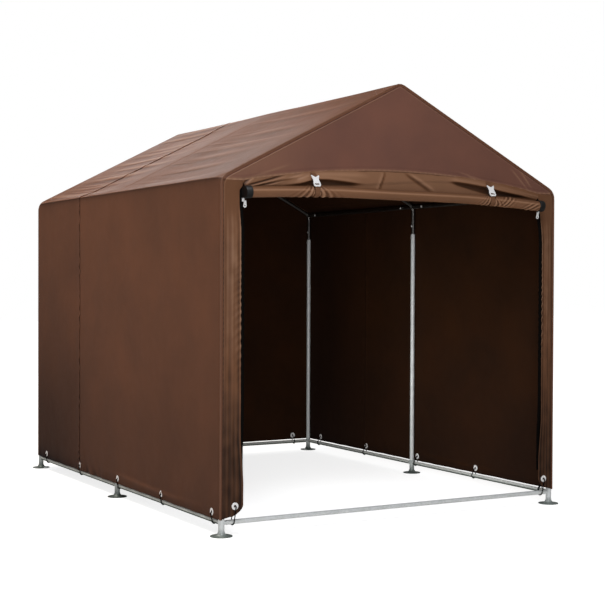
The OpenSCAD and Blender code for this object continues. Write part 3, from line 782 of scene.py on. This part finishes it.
# Painted light on the gable: a painted highlight along the hem dotted by its stitches, a thin dark line along
# the stitched groove above it, painted light toward the left, painted shade toward the right and painted
# highlights on the wrinkles.
def gable_dark(x, z):
    above = z - gable_hem(x)
    stitches = 0.5 + 0.5 * np.cos(2 * math.pi * x / 0.03)
    hem = 0.12 * bell(above - 19 * MM, 3 * MM) - (0.3 + 0.25 * stitches) * bell(above - 4 * MM, 4.5 * MM)
    lit = 0.15 * soft_step(x, -0.35, -0.85)
    shaded = 0.07 * soft_step(x, -0.1, 0.6)
    return hem - lit + shaded - 0.15 * line_wrinkles(x, z, GABLE_WRINKLES)

gable_places = spaced(-gable_x, gable_x, [-gable_x, gable_x, -door_x, door_x], 4 * MM, 11 * MM, 0.08)
gable_rows = np.concatenate([np.linspace(0, 0.12, 13), np.linspace(0.14, 0.93, 42), np.linspace(0.94, 1, 12)])
gable = upright_panel(
    "gable_panel", gable_places, gable_hem, panel_top, gable_rows, front_y, -1, gable_folds, gable_dark,
    face=gable_cloth,
)
belongs(gable, "cover_fabric", "front_gable")

# %% [markdown]
# The strips beside the doorway hang from the gable and carry the zips. They are slacker than the walls,
# lean out a little toward the doorway, and have long upright folds, with small slanting puckers where the
# zip tape is sewn on.

# %% Strips beside the doorway
CORNER_R, HEM_FALL, TAPE_SHOWN = 45 * MM, math.radians(15), 17 * MM
LEAN, FLARE = 17 * MM, 15 * MM
strip_x = door_x + TAPE_SHOWN
# Long folds: share of the width from the doorway edge, depth in mm, half width, height where they fade
STRIP_FOLDS = (
    (0.62, 5.0, 0.08, 1.15),
    (0.38, 4.0, 0.07, 0.85),
    (0.18, 3.5, 0.06, 0.7),
    (0.86, 2.5, 0.06, 0.6),
)

def strip_share(x):
    return np.clip((np.abs(x) - strip_x) / (panel_x - strip_x), 0, 1)

def strip_bottom(x):
    inside = np.clip(1 - (np.abs(x) - strip_x) / CORNER_R, 0, 1)
    rise = (wall_x - np.abs(x)) * math.tan(HEM_FALL)
    return hem_z + rise + CORNER_R * (1 - np.sqrt(1 - 0.98 * inside**2))

def strip_top(x):
    corner = 12 * MM * soft_step(np.abs(x), gable_x - 6 * MM, gable_x)
    return np.minimum(seam_z + 1 * MM + corner, panel_top(x))

def strip_flare(x, z):
    """The edge swings toward the doorway near the ground and beside the roll, and covers the tape."""
    swing = FLARE * soft_step(z, 0.46, 0.22) + TAPE_SHOWN * soft_step(z, 1.572, 1.6)
    return -np.sign(x) * swing * (1 - strip_share(x)) ** 1.5

def strip_valleys(x, z):
    """The long upright folds, from 0 on the flat to 1 at the bottom of a deep one."""
    across, depth = strip_share(x), 0
    sway = 0.025 * np.sin(z * 5.1 + 0.6) + 0.015 * np.sin(z * 11)
    for place, deep, width, top in STRIP_FOLDS:
        depth = depth + deep / 5 * bell(across - place - sway, width) * soft_step(z, top, top - 0.5)
    return depth

def strip_pucker(x, z):
    """Small slanting gathers along the zip, between -1 and 1."""
    across = strip_share(x)
    wave = np.cos(2 * math.pi * (z / 0.036 + across * 1.7 + 0.4 * np.sin(z * 11)))
    return wave * np.exp(-across / 0.17) * (0.6 + 0.4 * np.sin(z * 8)) * soft_step(z, 0.5, 0.85)

def strip_crush(x, z):
    """Small irregular wrinkles from packing, a few centimetres wide and taller than wide."""
    return ripples(51, 18, 0.045, 0.2, x, z) + 0.6 * ripples(53, 14, 0.1, 0.09, x, z)

def strip_folds(x, z):
    across = strip_share(x)
    below = soft_step(seam_z - z, 0.09, 0.24)
    hold = soft_step(across, 1.0, 0.85) * below
    return (
        (LEAN / MM) * (1 - across) * below
        - 4.0 * strip_valleys(x, z) * hold
        + 3.0 * bell(across - 0.5, 0.2) * hold
        + 2.6 * strip_pucker(x, z) * below
        + 1.5 * bell(across, 0.05) * below
        + 0.9 * strip_crush(x, z) * hold
    )

# Painted light on the strips: painted shade toward the ground and in the fold valleys, a dark band beside the
# doorway edge and toward the corner, and painted highlights on the doorway edge, a middle band, the crests
# and the puckers.
def strip_dark(x, z):
    across = strip_share(x)
    below = soft_step(seam_z - z, 0.09, 0.24)
    upper = soft_step(z, 0.55, 1.05)
    edge = 0.34 * bell(across - 0.13, 0.04) - (0.3 + 0.6 * upper) * bell(across, 0.05)
    edge = edge + 0.16 * soft_step(across, 0.72, 0.92) - 0.22 * bell(across - 0.45, 0.18) * upper
    crests = 0.3 * bell(across - 0.74, 0.06) + 0.26 * bell(across - 0.48, 0.06)
    crests = (crests + 0.2 * bell(across - 0.28, 0.04)) * (0.3 + 0.7 * upper)
    painted_shade_low = 0.18 + 0.46 * soft_step(z, 0.95, 0.2) - 0.1 * soft_step(z, 0.7, 1.4)
    folds = 0.22 * strip_valleys(x, z) - 0.3 * strip_pucker(x, z) - 0.1 * strip_crush(x, z)
    return painted_shade_low + (folds + edge - crests) * below

for side, word in ((-1, "left"), (1, "right")):
    inner, outer = side * strip_x, side * panel_x
    places = spaced(min(inner, outer), max(inner, outer), [inner], 1.5 * MM, 3 * MM, 0.03)
    strip = upright_panel(
        f"door_strip_{word}", places, strip_bottom, strip_top, np.linspace(0, 1, 320), front_y, -1,
        strip_folds, strip_dark, strip_flare, strip_cloth,
    )
    belongs(strip, "cover_fabric", f"front_{word}_strip")

# %% [markdown]
# ## Rolled door
# The door is one cloth as wide as the doorway and as tall as its opening. It hangs a short way from the
# gable hem, slack and folded, and is then rolled into a spiral of many turns. The whole spiral is
# modelled, turn on turn, and only the outer turn gets the fine gathers where a strap squeezes it.

# %% Rolled door
STRAP_X = (-0.494, 0.528)
# Pleats below each strap: pitch at the top of the roll, its gain down to the middle, half width of the fan
PLEATS = ((16 * MM, 13 * MM, 62 * MM), (9 * MM, 9 * MM, 50 * MM))
ROLL_R = 26 * MM
DOOR_DROP = 1.5
TURN_GAP = 1.7 * MM
roll_low, roll_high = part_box("rolled_door")
roll_y = roll_low.y + ROLL_R
roll_half = roll_high.x
ROLL_RISE, ROLL_TILT, ROLL_SAG = 24 * MM, 6 * MM, 6 * MM
roll_end_z = roll_low.z + ROLL_R

def roll_z(x):
    arch = ROLL_RISE * (1 - (x / roll_half) ** 2) - ROLL_TILT * x / roll_half
    return roll_end_z + arch - ROLL_SAG * np.cos(np.clip(x / 1.02, -0.5, 0.5) * math.pi) ** 2

# Pockets under the slack fold: place across the door, upper and lower edge as shares of the drop
POCKETS = np.array(
    [
        (-0.90, 0.62, 0.63),
        (-0.72, 0.60, 0.61),
        (-0.66, 0.60, 0.63),
        (-0.61, 0.60, 0.66),
        (-0.557, 0.57, 0.67),
        (-0.52, 0.50, 0.67),
        (-0.48, 0.40, 0.68),
        (-0.44, 0.40, 0.69),
        (-0.4, 0.42, 0.69),
        (-0.34, 0.48, 0.68),
        (-0.27, 0.55, 0.66),
        (-0.2, 0.58, 0.60),
        (-0.10, 0.50, 0.50),
        (0.20, 0.30, 0.30),
        (0.275, 0.26, 0.28),
        (0.352, 0.27, 0.44),
        (0.423, 0.30, 0.55),
        (0.513, 0.34, 0.66),
        (0.586, 0.42, 0.70),
        (0.66, 0.46, 0.64),
        (0.75, 0.49, 0.58),
        (0.845, 0.54, 0.57),
        (0.90, 0.56, 0.56),
    ]
)
# Creases: both ends as place across and share of the drop, height in mm, half width, and shade
CREASES = (
    (-0.855, 0.50, -0.838, 0.12, 3, 0.13, -0.3),
    (-0.838, 0.50, -0.805, 0.15, -3, 0.13, 0.6),
    (-0.822, 0.50, -0.780, 0.12, 3, 0.11, -0.3),
    (-0.81, 0.52, -0.66, 0.19, -3, 0.05, 0.8),
    (-0.79, 0.58, -0.64, 0.28, 4, 0.055, -0.3),
    (-0.77, 0.61, -0.60, 0.35, -3, 0.045, 0.75),
    (-0.70, 0.58, -0.55, 0.22, 4, 0.06, -0.35),
    (-0.557, 0.42, -0.505, 0.25, 3, 0.07, -0.3),
    (-0.46, 0.18, -0.22, 0.26, 3, 0.10, -0.2),
    (-0.135, 0.80, -0.100, 0.22, 3, 0.10, -0.25),
    (-0.118, 0.80, -0.086, 0.22, -2.5, 0.10, 0.45),
    (0.050, 0.22, 0.165, 0.72, -2.5, 0.07, 0.45),
    (0.075, 0.20, 0.190, 0.68, 3, 0.07, -0.25),
    (0.60, 0.24, 0.84, 0.38, 3, 0.06, -0.15),
)
even_x = np.arange(-0.96, 0.96, 1 * MM)
blur = bell(np.arange(-0.06, 0.061, 1 * MM), 0.02)

def pocket_edge(x, column):
    """An edge of the pockets between the places of the table, rounded so that it has no corners."""
    line = np.interp(even_x, POCKETS[:, 0], POCKETS[:, column])
    return np.interp(x, even_x[60:-60], np.convolve(line, blur / blur.sum(), "valid"))

def crease_sum(x, t, column):
    total = 0 * x * t
    for crease in CREASES:
        x0, t0, x1, t1, width = *crease[:4], crease[5]
        share = np.clip((x - x0) / (x1 - x0), -0.3, 1.3)
        fade = soft_step(share, -0.3, 0.15) * soft_step(share, 1.3, 0.85)
        total = total + crease[column] * bell(t - t0 - (t1 - t0) * share, width) * fade
    return total * soft_step(t, 0.0, 0.1)

def slack_folds(x, t):
    """Folds of the cloth between the hem and the roll, in millimetres toward the front."""
    upper, lower = pocket_edge(x, 1), pocket_edge(x, 2)
    out = 4 + 14 * soft_step(lower - upper, 0.02, 0.16)
    rise, fall = np.clip(t / upper, 0, 1) ** 0.8, soft_step(t, upper + 0.13, upper - 0.01)
    height = out * np.where(t < upper, rise, fall)
    return height + crease_sum(x, t, 4) + ripples(41, 12, 0.3, 1.2, x, t) * 1.2 * np.sin(math.pi * t)

def slack_dark(x, t):
    """Painted shade deep in the pockets with a painted highlight along their upper edge, painted shade and
    highlights along the creases, painted shade under the hem, lighter overall and darker toward the right.
    """
    upper, lower = pocket_edge(x, 1), pocket_edge(x, 2)
    deep = soft_step(t, upper - 0.01, upper + 0.05) * soft_step(t, lower + 0.05, lower - 0.02)
    lip = 0.22 * bell(t - upper + 0.07, 0.06)
    pocket = (0.95 * deep - lip) * soft_step(lower - upper, 0.02, 0.12)
    return pocket + 1.6 * crease_sum(x, t, 6) + 0.35 * bell(t, 0.07) - 0.3 + 0.26 * soft_step(x, 0.42, 0.7)

def strap_pleats(x, turn):
    """Pleats that fan out below each strap, and slanting ones toward the right end, between -1 and 1."""
    fan = 1 - np.cos(np.clip(4.7 - turn, 0, 3.2))
    slant = np.cos(2 * math.pi * (x + 0.028 * fan) / 0.025) * bell(x + 0.02 * fan - 0.645, 0.034)
    gather = np.cos(2 * math.pi * (x + 0.046 * fan) / 0.034) * bell(x + 0.04 * fan - 0.84, 0.045)
    height = 0.9 * slant + 0.8 * gather * soft_step(fan, 0.5, 1.0)
    for place, (pitch, spread, width) in zip(STRAP_X, PLEATS):
        off = x - place
        wave = np.cos(2 * math.pi * off / (pitch + spread * fan))
        height = height + wave * bell(off, width * (0.5 + fan / 2))
    return height

def roll_relief(x, turn):
    waves = 0.5 * np.cos(2 * turn + 3 * x) + ripples(43, 8, 0.3, 6.0, x, turn) * 0.7
    return waves + 3.0 * strap_pleats(x, turn)

def door_point(x, d, slack):
    """Place (y, z) on the door at x across and d along from the hem: first the slack, then the spiral."""
    drop = gable_hem(x) - roll_z(x)
    t = np.clip(d / slack, 0, 1)
    hang_y = front_y + 3 * MM + (roll_y + ROLL_R - front_y - 3 * MM) * t - slack_folds(x, t) * MM
    hang_z = gable_hem(x) + 8 * MM - (drop + 8 * MM) * t
    rolled = np.maximum(d - slack, 0)
    inner = np.sqrt(np.maximum(ROLL_R**2 - rolled * TURN_GAP / math.pi, (4 * MM) ** 2))
    turn = (ROLL_R - inner) * 2 * math.pi / TURN_GAP
    squeeze = np.maximum(*[bell(x - place, 0.03) for place in STRAP_X])
    outermost = soft_step(turn, 2 * math.pi + 0.4, 2 * math.pi - 0.6)
    radius = inner * (1 - 0.13 * squeeze) + roll_relief(x, turn) * MM * outermost
    on_roll = d > slack
    spiral_y, spiral_z = roll_y + radius * np.cos(turn), roll_z(x) - radius * np.sin(turn)
    return np.where(on_roll, spiral_y, hang_y), np.where(on_roll, spiral_z, hang_z)

door_x_places = spaced(-roll_half, roll_half, list(STRAP_X) + [-roll_half, roll_half], 2.2 * MM, 8 * MM, 0.15)
shares = [np.linspace(0, 1, 41)[:-1], 1 + np.linspace(0, 0.13, 50)[:-1], 1 + np.linspace(0.13, 1, 90)]
shares = np.concatenate(shares)
x = door_x_places[None, :] + 0 * shares[:, None]
slack = (gable_hem(x) - roll_z(x)) * 1.02
d = np.minimum(shares[:, None], 1) * slack + np.maximum(shares[:, None] - 1, 0) * (DOOR_DROP - 0.1)
door_y, door_z = door_point(x, d, slack)
hung = np.clip(d / slack, 0, 1)
wound = np.maximum(d - slack, 0) / ROLL_R
# Painted light on the door: the slack part gets its painted shade and highlights, the roll a painted
# highlight band along its upper front, painted light and shade on the strap pleats, and is a little paler
# overall.
highlight_band = 0.65 * bell(wound - 3.36, 0.15) - 0.12 * bell(wound - 4.2, 0.3)
door_dark = np.where(d < slack, slack_dark(x, hung), -strap_pleats(x, wound) - highlight_band - 0.1)
wider = 1 + (door_x / roll_half - 1) * soft_step(hung, 0.9, 0.3)
door_grid = np.stack([x * wider, door_y, door_z], axis=-1)
door = sheet_object("rolled_door_cloth", door_grid, np.stack([x, d], axis=-1), [roll_cloth], None, door_dark)
belongs(door, "cover_fabric", "rolled_door")

# %% [markdown]
# ## Turned pieces
# Caps, eyelets and bolts are round, so each is modelled once: a circle is added, and its rim is extruded
# and scaled ring by ring along a short list of radii and heights. Copies are then turned to their places.

# %% Turned piece helper
def turned(name, rings_mm, segments, material, closed=False):
    """A round piece about Z from a list of (radius, height) rings in millimetres, first to last."""
    rings = [(r * MM, z * MM) for r, z in rings_mm]
    bpy.ops.object.select_all(action="DESELECT")
    bpy.ops.mesh.primitive_circle_add(vertices=segments, radius=rings[0][0], location=(0, 0, rings[0][1]))
    piece = bpy.context.object
    piece.name = name
    bpy.ops.object.transform_apply(location=True)
    bpy.ops.object.mode_set(mode="EDIT")
    bpy.ops.mesh.select_all(action="SELECT")
    if not closed:
        bpy.ops.mesh.edge_face_add()
        bpy.ops.mesh.inset(thickness=rings[0][0] * 0.4)
        bpy.ops.object.mode_set(mode="OBJECT")
        for vertex in piece.data.vertices:
            vertex.select = vertex.co.xy.length > rings[0][0] * 0.9
        for edge in piece.data.edges:
            edge.select = all(piece.data.vertices[v].select for v in edge.vertices)
        for polygon in piece.data.polygons:
            polygon.select = False
        bpy.ops.object.mode_set(mode="EDIT")
    for (r0, z0), (r1, z1) in zip(rings, rings[1:]):
        bpy.ops.mesh.extrude_edges_move(TRANSFORM_OT_translate={"value": (0, 0, z1 - z0)})
        bpy.ops.transform.resize(value=(r1 / r0, r1 / r0, 1), center_override=(0, 0, z1))
    if closed:
        bpy.ops.mesh.select_all(action="SELECT")
        bpy.ops.mesh.remove_doubles(threshold=1e-6)
    else:
        bpy.ops.mesh.edge_face_add()
        bpy.ops.mesh.inset(thickness=rings[-1][0] * 0.4)
    bpy.ops.mesh.select_all(action="SELECT")
    bpy.ops.mesh.normals_make_consistent(inside=False)
    bpy.ops.object.mode_set(mode="OBJECT")
    piece.data.materials.append(material)
    bpy.ops.object.shade_smooth_by_angle(angle=math.radians(40))
    return piece

def joined(name, pieces):
    """Joins pieces into the first of them, under a new name."""
    pick(*pieces)
    bpy.ops.object.join()
    pieces[0].name = name
    return pieces[0]

def copies(name, pattern, places):
    """Joins copies of a pattern piece, one at each matrix, into one piece, and removes the pattern."""
    made = []
    for place in places:
        one = bpy.data.objects.new(name, pattern.data.copy())
        bpy.context.scene.collection.objects.link(one)
        one.data.transform(place)
        made.append(one)
    bpy.data.objects.remove(pattern)
    return joined(name, made)

def facing(place, direction):
    """Matrix that puts a piece turned about Z at a place, with its Z along a direction."""
    return Matrix.Translation(place) @ Vector(direction).to_track_quat("Z", "Y").to_matrix().to_4x4()

# %% [markdown]
# The end caps are black moulded cups pushed onto the ends of the roll: a rounded outer face with a
# shallow dish, and a rolled lip where the cloth goes in.

# %% End caps
cap_rings = [(8, 30), (20, 29.2), (24, 30.4), (26.5, 31.6), (28.2, 30.6), (29, 28), (29, 6), (29.4, 4)]
cap_rings += [(29.4, 1), (28.6, 0)]
cap = turned("cap", cap_rings, 48, cap_plastic)
tilt = math.atan(2 * ROLL_RISE / roll_half)
cap_places = []
for side in (-1, 1):
    outward = (side * math.cos(tilt), 0, -math.sin(tilt))
    cap_places.append(facing((side * roll_half, roll_y, roll_z(side * roll_half)), outward))
belongs(copies("door_end_caps_moulded", cap, cap_places), "black_plastic", "door_end_caps")

# %% [markdown]
# An eyelet is a ring of thin metal pressed through the cloth, with a rounded flange on the outside.

# %% Eyelets
EYELET_Z, STRIP_EYELET_Z, STRIP_EYELET_IN = 104 * MM, 137 * MM, 41 * MM
eyelet_rings = [(6, -2.0), (7.4, -2.8), (15.8, -2.4), (17, -1.6), (16.6, -1.0), (7.4, -1.0), (7.3, 1.0)]
eyelet_rings += [(16.6, 1.0), (17, 1.7), (15.8, 2.6), (11, 3.2), (7.6, 2.9), (6.2, 2.1), (6, 1.4), (6, -2.0)]
eyelet = turned("eyelet", eyelet_rings, 32, nickel, closed=True)
skin_mid = skin - 1 * MM
back_tie_x = [(i - 1.5) * 0.56 for i in range(4)]
ties = [((side * (leg_x + skin_mid), y, EYELET_Z), (side, 0, 0)) for side in (-1, 1) for y in side_tie_y]
ties += [((x, rib_y[2] + skin_mid, EYELET_Z), (0, 1, 0)) for x in back_tie_x]
for side in (-1, 1):
    x = side * (door_x + STRIP_EYELET_IN)
    y = front_y + 1 * MM - strip_folds(x, STRIP_EYELET_Z) * MM
    ties.append(((x, y, STRIP_EYELET_Z), (0, -1, 0)))
eyelets = copies("eyelets_pressed", eyelet, [facing(place, out) for place, out in ties])
belongs(eyelets, "eyelet_metal", "eyelets")

# %% [markdown]
# The ties are loops of elastic cord, through an eyelet and round the base rail. They are pulled tight, so
# the loop is straight between the two bends, and its two sides lie a little apart.

# %% Ties
CORD_R, RAIL_BEND, HOLE_BEND, SPLAY = 2.6 * MM, 13.8 * MM, 7 * MM, 3.2 * MM

def curve_piece(name, rings, cyclic, **settings):
    """Draws rings of points as straight-sided curves, and converts them to a mesh."""
    curve = bpy.data.curves.new(name, "CURVE")
    for key, value in settings.items():
        setattr(curve, key, value)
    for ring in rings:
        spline = curve.splines.new("POLY")
        spline.points.add(len(ring) - 1)
        for knot, point in zip(spline.points, ring):
            knot.co = (*point, 1)
        spline.use_cyclic_u = cyclic
    piece = bpy.data.objects.new(name, curve)
    bpy.context.scene.collection.objects.link(piece)
    pick(piece)
    bpy.ops.object.convert(target="MESH")
    return bpy.context.object

def tube_along(name, points, radius, material, cyclic):
    tube = {"dimensions": "3D", "bevel_depth": radius, "bevel_resolution": 3, "use_fill_caps": True}
    piece = curve_piece(name, [points], cyclic, **tube)
    piece.data.materials.append(material)
    piece.data.shade_smooth()
    return piece

def tie_loop(reach, rise):
    """Points of a loop round a rail at the origin and through an eyelet, with X out of the cover and Y up."""
    centre = Vector((reach, rise - HOLE_BEND))
    toward = math.atan2(centre.y, centre.x)
    opened = math.acos((RAIL_BEND - HOLE_BEND) / centre.length)
    loop = []
    for i in range(29):
        a = toward + opened + (2 * math.pi - 2 * opened) * i / 28
        loop.append((RAIL_BEND * math.cos(a), RAIL_BEND * math.sin(a)))
    for i in range(17):
        a = toward - opened + 2 * opened * i / 16
        loop.append((centre.x + HOLE_BEND * math.cos(a), centre.y + HOLE_BEND * math.sin(a)))
    return loop

loops = []
for place, out in ties:
    out, up = Vector(out), Vector((0, 0, 1))
    side = out.cross(up)
    rail = Vector((leg_x * out.x, rib_y[0] if out.y < 0 else rib_y[2], base_z))
    reach = (Vector(place) - rail).dot(out) if out.x == 0 else skin_mid
    loop = tie_loop(reach, place[2] - base_z)
    origin = Vector((place[0], place[1], base_z)) - out * reach
    points = []
    for i, (u, v) in enumerate(loop):
        apart = SPLAY * math.sin(2 * math.pi * i / len(loop))
        points.append(origin + out * u + up * v + side * apart)
    loops.append(tube_along("tie", points, CORD_R, cord_sleeve, True))
belongs(joined("tie_cords_elastic", loops), "elastic_cord", "tie_cords")

# %% [markdown]
# ## Straps and buckles
# Each strap is flat webbing, sewn to the gable hem. It comes down over the lip of the slack cloth, goes
# round the roll and ends behind it. Webbing is modelled directly, as a ribbon that follows a line of
# points.

# %% Straps
STRAP_W, STRAP_T = 25 * MM, 1.6 * MM

def strap_line(x):
    """Points down a strap in (forward, up) from the roll's centre, and the angle where it leaves the roll."""
    r = ROLL_R + 1.2 * MM
    hem = Vector((roll_y - front_y + 1.2 * MM, gable_hem(x) + 2 * MM - roll_z(x)))
    lip = hem + Vector((15 * MM, -9 * MM))
    leave = math.atan2(lip.y, lip.x) - math.acos(r / lip.length)
    line = [hem.lerp(lip, i / 3) for i in range(3)]
    line += [lip.lerp(Vector((r * math.cos(leave), r * math.sin(leave))), i / 6) for i in range(6)]
    for i in range(37):
        a = leave + (math.radians(-222) - leave) * i / 36
        line.append(Vector((r * math.cos(a), r * math.sin(a))))
    return line, leave

straps = []
across = np.linspace(-STRAP_W / 2, STRAP_W / 2, 7)
for x in STRAP_X:
    line = strap_line(x)[0]
    grid = np.array([[(x + w, roll_y - p.x, roll_z(x) + p.y) for w in across] for p in line])
    uv = np.array([[(w, i * 5 * MM) for w in across] for i in range(len(line))])
    straps.append(sheet_object("strap", grid, uv, [webbing], STRAP_T))
belongs(joined("door_straps_webbing", straps), "strap_webbing", "door_straps")

# %% [markdown]
# The buckles are white moulded tabs: a forked top that the webbing threads through, a waist, and a
# rounded end with a slot. The outline is drawn flat, filled, extruded and bevelled.

# %% Buckles
def flat_piece(name, outline, holes, thickness, bevel, material):
    """A plate in X and Z from an outline with holes, extruded toward -Y and bevelled."""
    rings = [[(px, pz, 0) for px, pz in ring] for ring in [outline] + holes]
    piece = curve_piece(name, rings, True, dimensions="2D", fill_mode="BOTH")
    piece.data.transform(Matrix.Rotation(math.pi / 2, 4, "X"))
    bpy.ops.object.mode_set(mode="EDIT")
    bpy.ops.mesh.select_all(action="SELECT")
    bpy.ops.mesh.remove_doubles(threshold=1e-6)
    bpy.ops.mesh.extrude_region_move(TRANSFORM_OT_translate={"value": (0, -thickness, 0)})
    bpy.ops.mesh.select_all(action="SELECT")
    bpy.ops.mesh.normals_make_consistent(inside=False)
    bpy.ops.object.mode_set(mode="OBJECT")
    rounding = piece.modifiers.new("rounding", "BEVEL")
    rounding.width, rounding.segments, rounding.limit_method = bevel, 3, "ANGLE"
    rounding.angle_limit = math.radians(50)
    bpy.ops.object.modifier_apply(modifier=rounding.name)
    piece.data.materials.append(material)
    bpy.ops.object.shade_smooth_by_angle(angle=math.radians(35))
    return piece

def arc_points(cx, cz, r, start, stop, steps):
    turns = [math.radians(start + (stop - start) * i / steps) for i in range(steps + 1)]
    return [(cx + r * math.cos(a), cz + r * math.sin(a)) for a in turns]

def mirrored(half, top=()):
    """A closed outline from its right half, bottom to top."""
    return half + list(top) + [(-px, pz) for px, pz in reversed(half)]

BUCKLE_L, BUCKLE_W, BUCKLE_T = 61 * MM, 44 * MM, 4 * MM
foot, waist, fork, corner = BUCKLE_W * 0.42, BUCKLE_W * 0.35, BUCKLE_W * 0.5, BUCKLE_W * 0.2
right_side = arc_points(foot - corner, corner, corner, 270, 360, 8)
edge = [(foot, 0.3), (waist, 0.56), (waist * 1.1, 0.72), (fork, 0.95), (fork * 0.86, 1), (fork * 0.66, 0.95)]
right_side += [(out, BUCKLE_L * share) for out, share in edge]
buckle_outline = mirrored(right_side, [(0, BUCKLE_L * 0.82)])
slot_x, slot_z, slot_r = BUCKLE_W * 0.2, BUCKLE_W * 0.28, 4 * MM
buckle_slot = arc_points(slot_x, slot_z, slot_r, -90, 90, 8) + arc_points(-slot_x, slot_z, slot_r, 90, 270, 8)
buckle = flat_piece("buckle", buckle_outline, [buckle_slot], BUCKLE_T, 0.9 * MM, white_plastic)
r = ROLL_R + 3.6 * MM
buckle_places = []
for x in STRAP_X:
    leave = strap_line(x)[1]
    at = Matrix.Translation((x, roll_y - r * math.cos(leave), roll_z(x) + r * math.sin(leave)))
    buckle_places.append(at @ Matrix.Rotation(-leave, 4, "X") @ Matrix.Translation((0, 0, 9 * MM)))
belongs(copies("strap_buckles_moulded", buckle, buckle_places), "white_plastic", "strap_buckles")

# %% [markdown]
# ## Zips
# A black zip tape is sewn along the inner edge of each strip, with small moulded teeth on its free edge.
# The white pull hangs from its slider just under the roll.

# %% Zip tapes, teeth and pulls
TAPE_W, TOOTH_PITCH = 23 * MM, 5 * MM
zip_low, zip_high = hem_z + 110 * MM, seam_z - 6 * MM
z_places = np.linspace(zip_low, zip_high, 150)

def zip_depth(z):
    """Place of the tape behind the strip's edge, deeper near the ground, where the strip swings over it."""
    return front_y + 4.5 * MM - strip_folds(strip_x, z) * MM + 9 * MM * soft_step(z, 0.6, 0.35)

tapes, tooth_places = [], []
columns = np.linspace(door_x, door_x + TAPE_W, 6)
for side in (-1, 1):
    grid = np.array([[(side * cx, zip_depth(z), z) for cx in columns] for z in z_places])
    if side > 0:
        grid = grid[:, ::-1]
    uv = np.stack([grid[..., 0], grid[..., 2]], axis=-1)
    tapes.append(sheet_object("tape", grid, uv, [zip_black], 0.8 * MM))
    for z in np.arange(zip_low + 4 * MM, zip_high - 4 * MM, TOOTH_PITCH):
        tooth_places.append(Matrix.Translation((side * door_x, zip_depth(z), z)))
belongs(joined("zip_tapes", tapes), "black_plastic")

bpy.ops.object.select_all(action="DESELECT")
bpy.ops.mesh.primitive_cube_add(size=1)
tooth = bpy.context.object
bpy.ops.object.mode_set(mode="EDIT")
bpy.ops.transform.resize(value=(4.5 * MM, 3.0 * MM, 2.4 * MM), center_override=(0, 0, 0))
bpy.ops.mesh.bevel(offset=0.5 * MM, segments=1)
bpy.ops.object.mode_set(mode="OBJECT")
tooth.data.materials.append(zip_black)
belongs(copies("zip_teeth", tooth, tooth_places), "black_plastic")

PULL_Z, PULL_IN = (1523 * MM, 1517 * MM), 7 * MM
tab_outline = arc_points(0, 8.5 * MM, 8.5 * MM, 180, 360, 14)
tab_outline += [(6 * MM, 27 * MM), (4.5 * MM, 33 * MM), (-4.5 * MM, 33 * MM), (-6 * MM, 27 * MM)]
tab_hole = arc_points(0, 8.5 * MM, 3.2 * MM, 0, 345, 14)
tab = flat_piece("tab", tab_outline, [tab_hole], 2.4 * MM, 0.6 * MM, white_plastic)
half_body = [(5 * MM, 0), (6 * MM, 6 * MM), (5.2 * MM, 15 * MM), (2 * MM, 17 * MM)]
slider = flat_piece("slider", mirrored(half_body), [], 6.5 * MM, 1.2 * MM, white_plastic)
pull_spots, tab_spots = [], []
for side, z in zip((-1, 1), PULL_Z):
    depth = zip_depth(z) - 4.5 * MM
    pull_spots.append(Matrix.Translation((side * door_x, depth, z)))
    hang = Matrix.Translation((side * (door_x - PULL_IN), depth - 4.5 * MM, z - 27 * MM))
    tab_spots.append(hang @ Matrix.Rotation(math.radians(6), 4, "X"))
belongs(copies("zip_sliders", slider, pull_spots), "white_plastic", "zip_pulls")
belongs(copies("zip_pull_tabs", tab, tab_spots), "white_plastic")

# %% [markdown]
# ## Piping and bolts
# A thin welt is sewn into the seam round both ends of the cover, where roof and walls meet the end
# panels. It is a cord in a cloth sleeve that follows the outline of the rib.

# %% Piping
WELT_R = 3.6 * MM
turn_in = EDGE_R * (1 - math.sqrt(0.5)) - 1 * MM
line = outline_at(rib_line, spaced(0, 1, list(SHARES[1:4]), 0.003, 0.012, 0.05))
step = np.gradient(line, axis=0)
out = np.stack([-step[:, 1], step[:, 0]], axis=-1)
line = line - out / np.linalg.norm(out, axis=1, keepdims=True) * turn_in
welts = []
for y in (front_y + turn_in, back_y - turn_in):
    welts.append(tube_along("welt", [(px, y, pz) for px, pz in line], WELT_R, binding, False))
piping = joined("edge_piping", welts)
piping.data.uv_layers.new(name="cloth")
belongs(piping, "cover_fabric")

# %% [markdown]
# The tubes are pinned to the fittings with small dome-headed bolts: one at the top of each leg, one at
# the low end of each rafter, and one at each end of the eave rails. They face into the shelter.

# %% Bolts
bolt_rings = [(1.5, 4.2), (3.2, 3.7), (4.6, 2.6), (5.2, 1.2), (5.2, 0.4), (7.5, 0.2), (7.5, -1.2)]
bolt = turned("bolt", bolt_rings, 20, zinc)
leg_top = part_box("front_right_leg")[1].z
bolt_places = []
for y in rib_y:
    for side in (-1, 1):
        bolt_places.append(facing((side * (leg_x - TUBE_R), y, leg_top - 22 * MM), (-side, 0, 0)))
        bolt_places.append(facing((side * (leg_x - 11 * MM), y, leg_top + 50 * MM), (-side, 0, 0)))
for side, word in ((-1, "left"), (1, "right")):
    low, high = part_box(f"{word}_eave_rails")
    for y in (low.y + 22 * MM, rib_y[1] - 112 * MM, rib_y[1] + 112 * MM, high.y - 22 * MM):
        bolt_places.append(facing((side * (eave_rail.x - RAIL_R), y, eave_rail.z), (-side, 0, 0)))
belongs(copies("frame_bolts", bolt, bolt_places), "galvanised_steel")

# %% [markdown]
# Last, the view layer is brought up to date. The dressed shelter has to stay in the CAD box, apart
# from a little room for cloth.

# %% Update the view layer
bpy.context.view_layer.update()
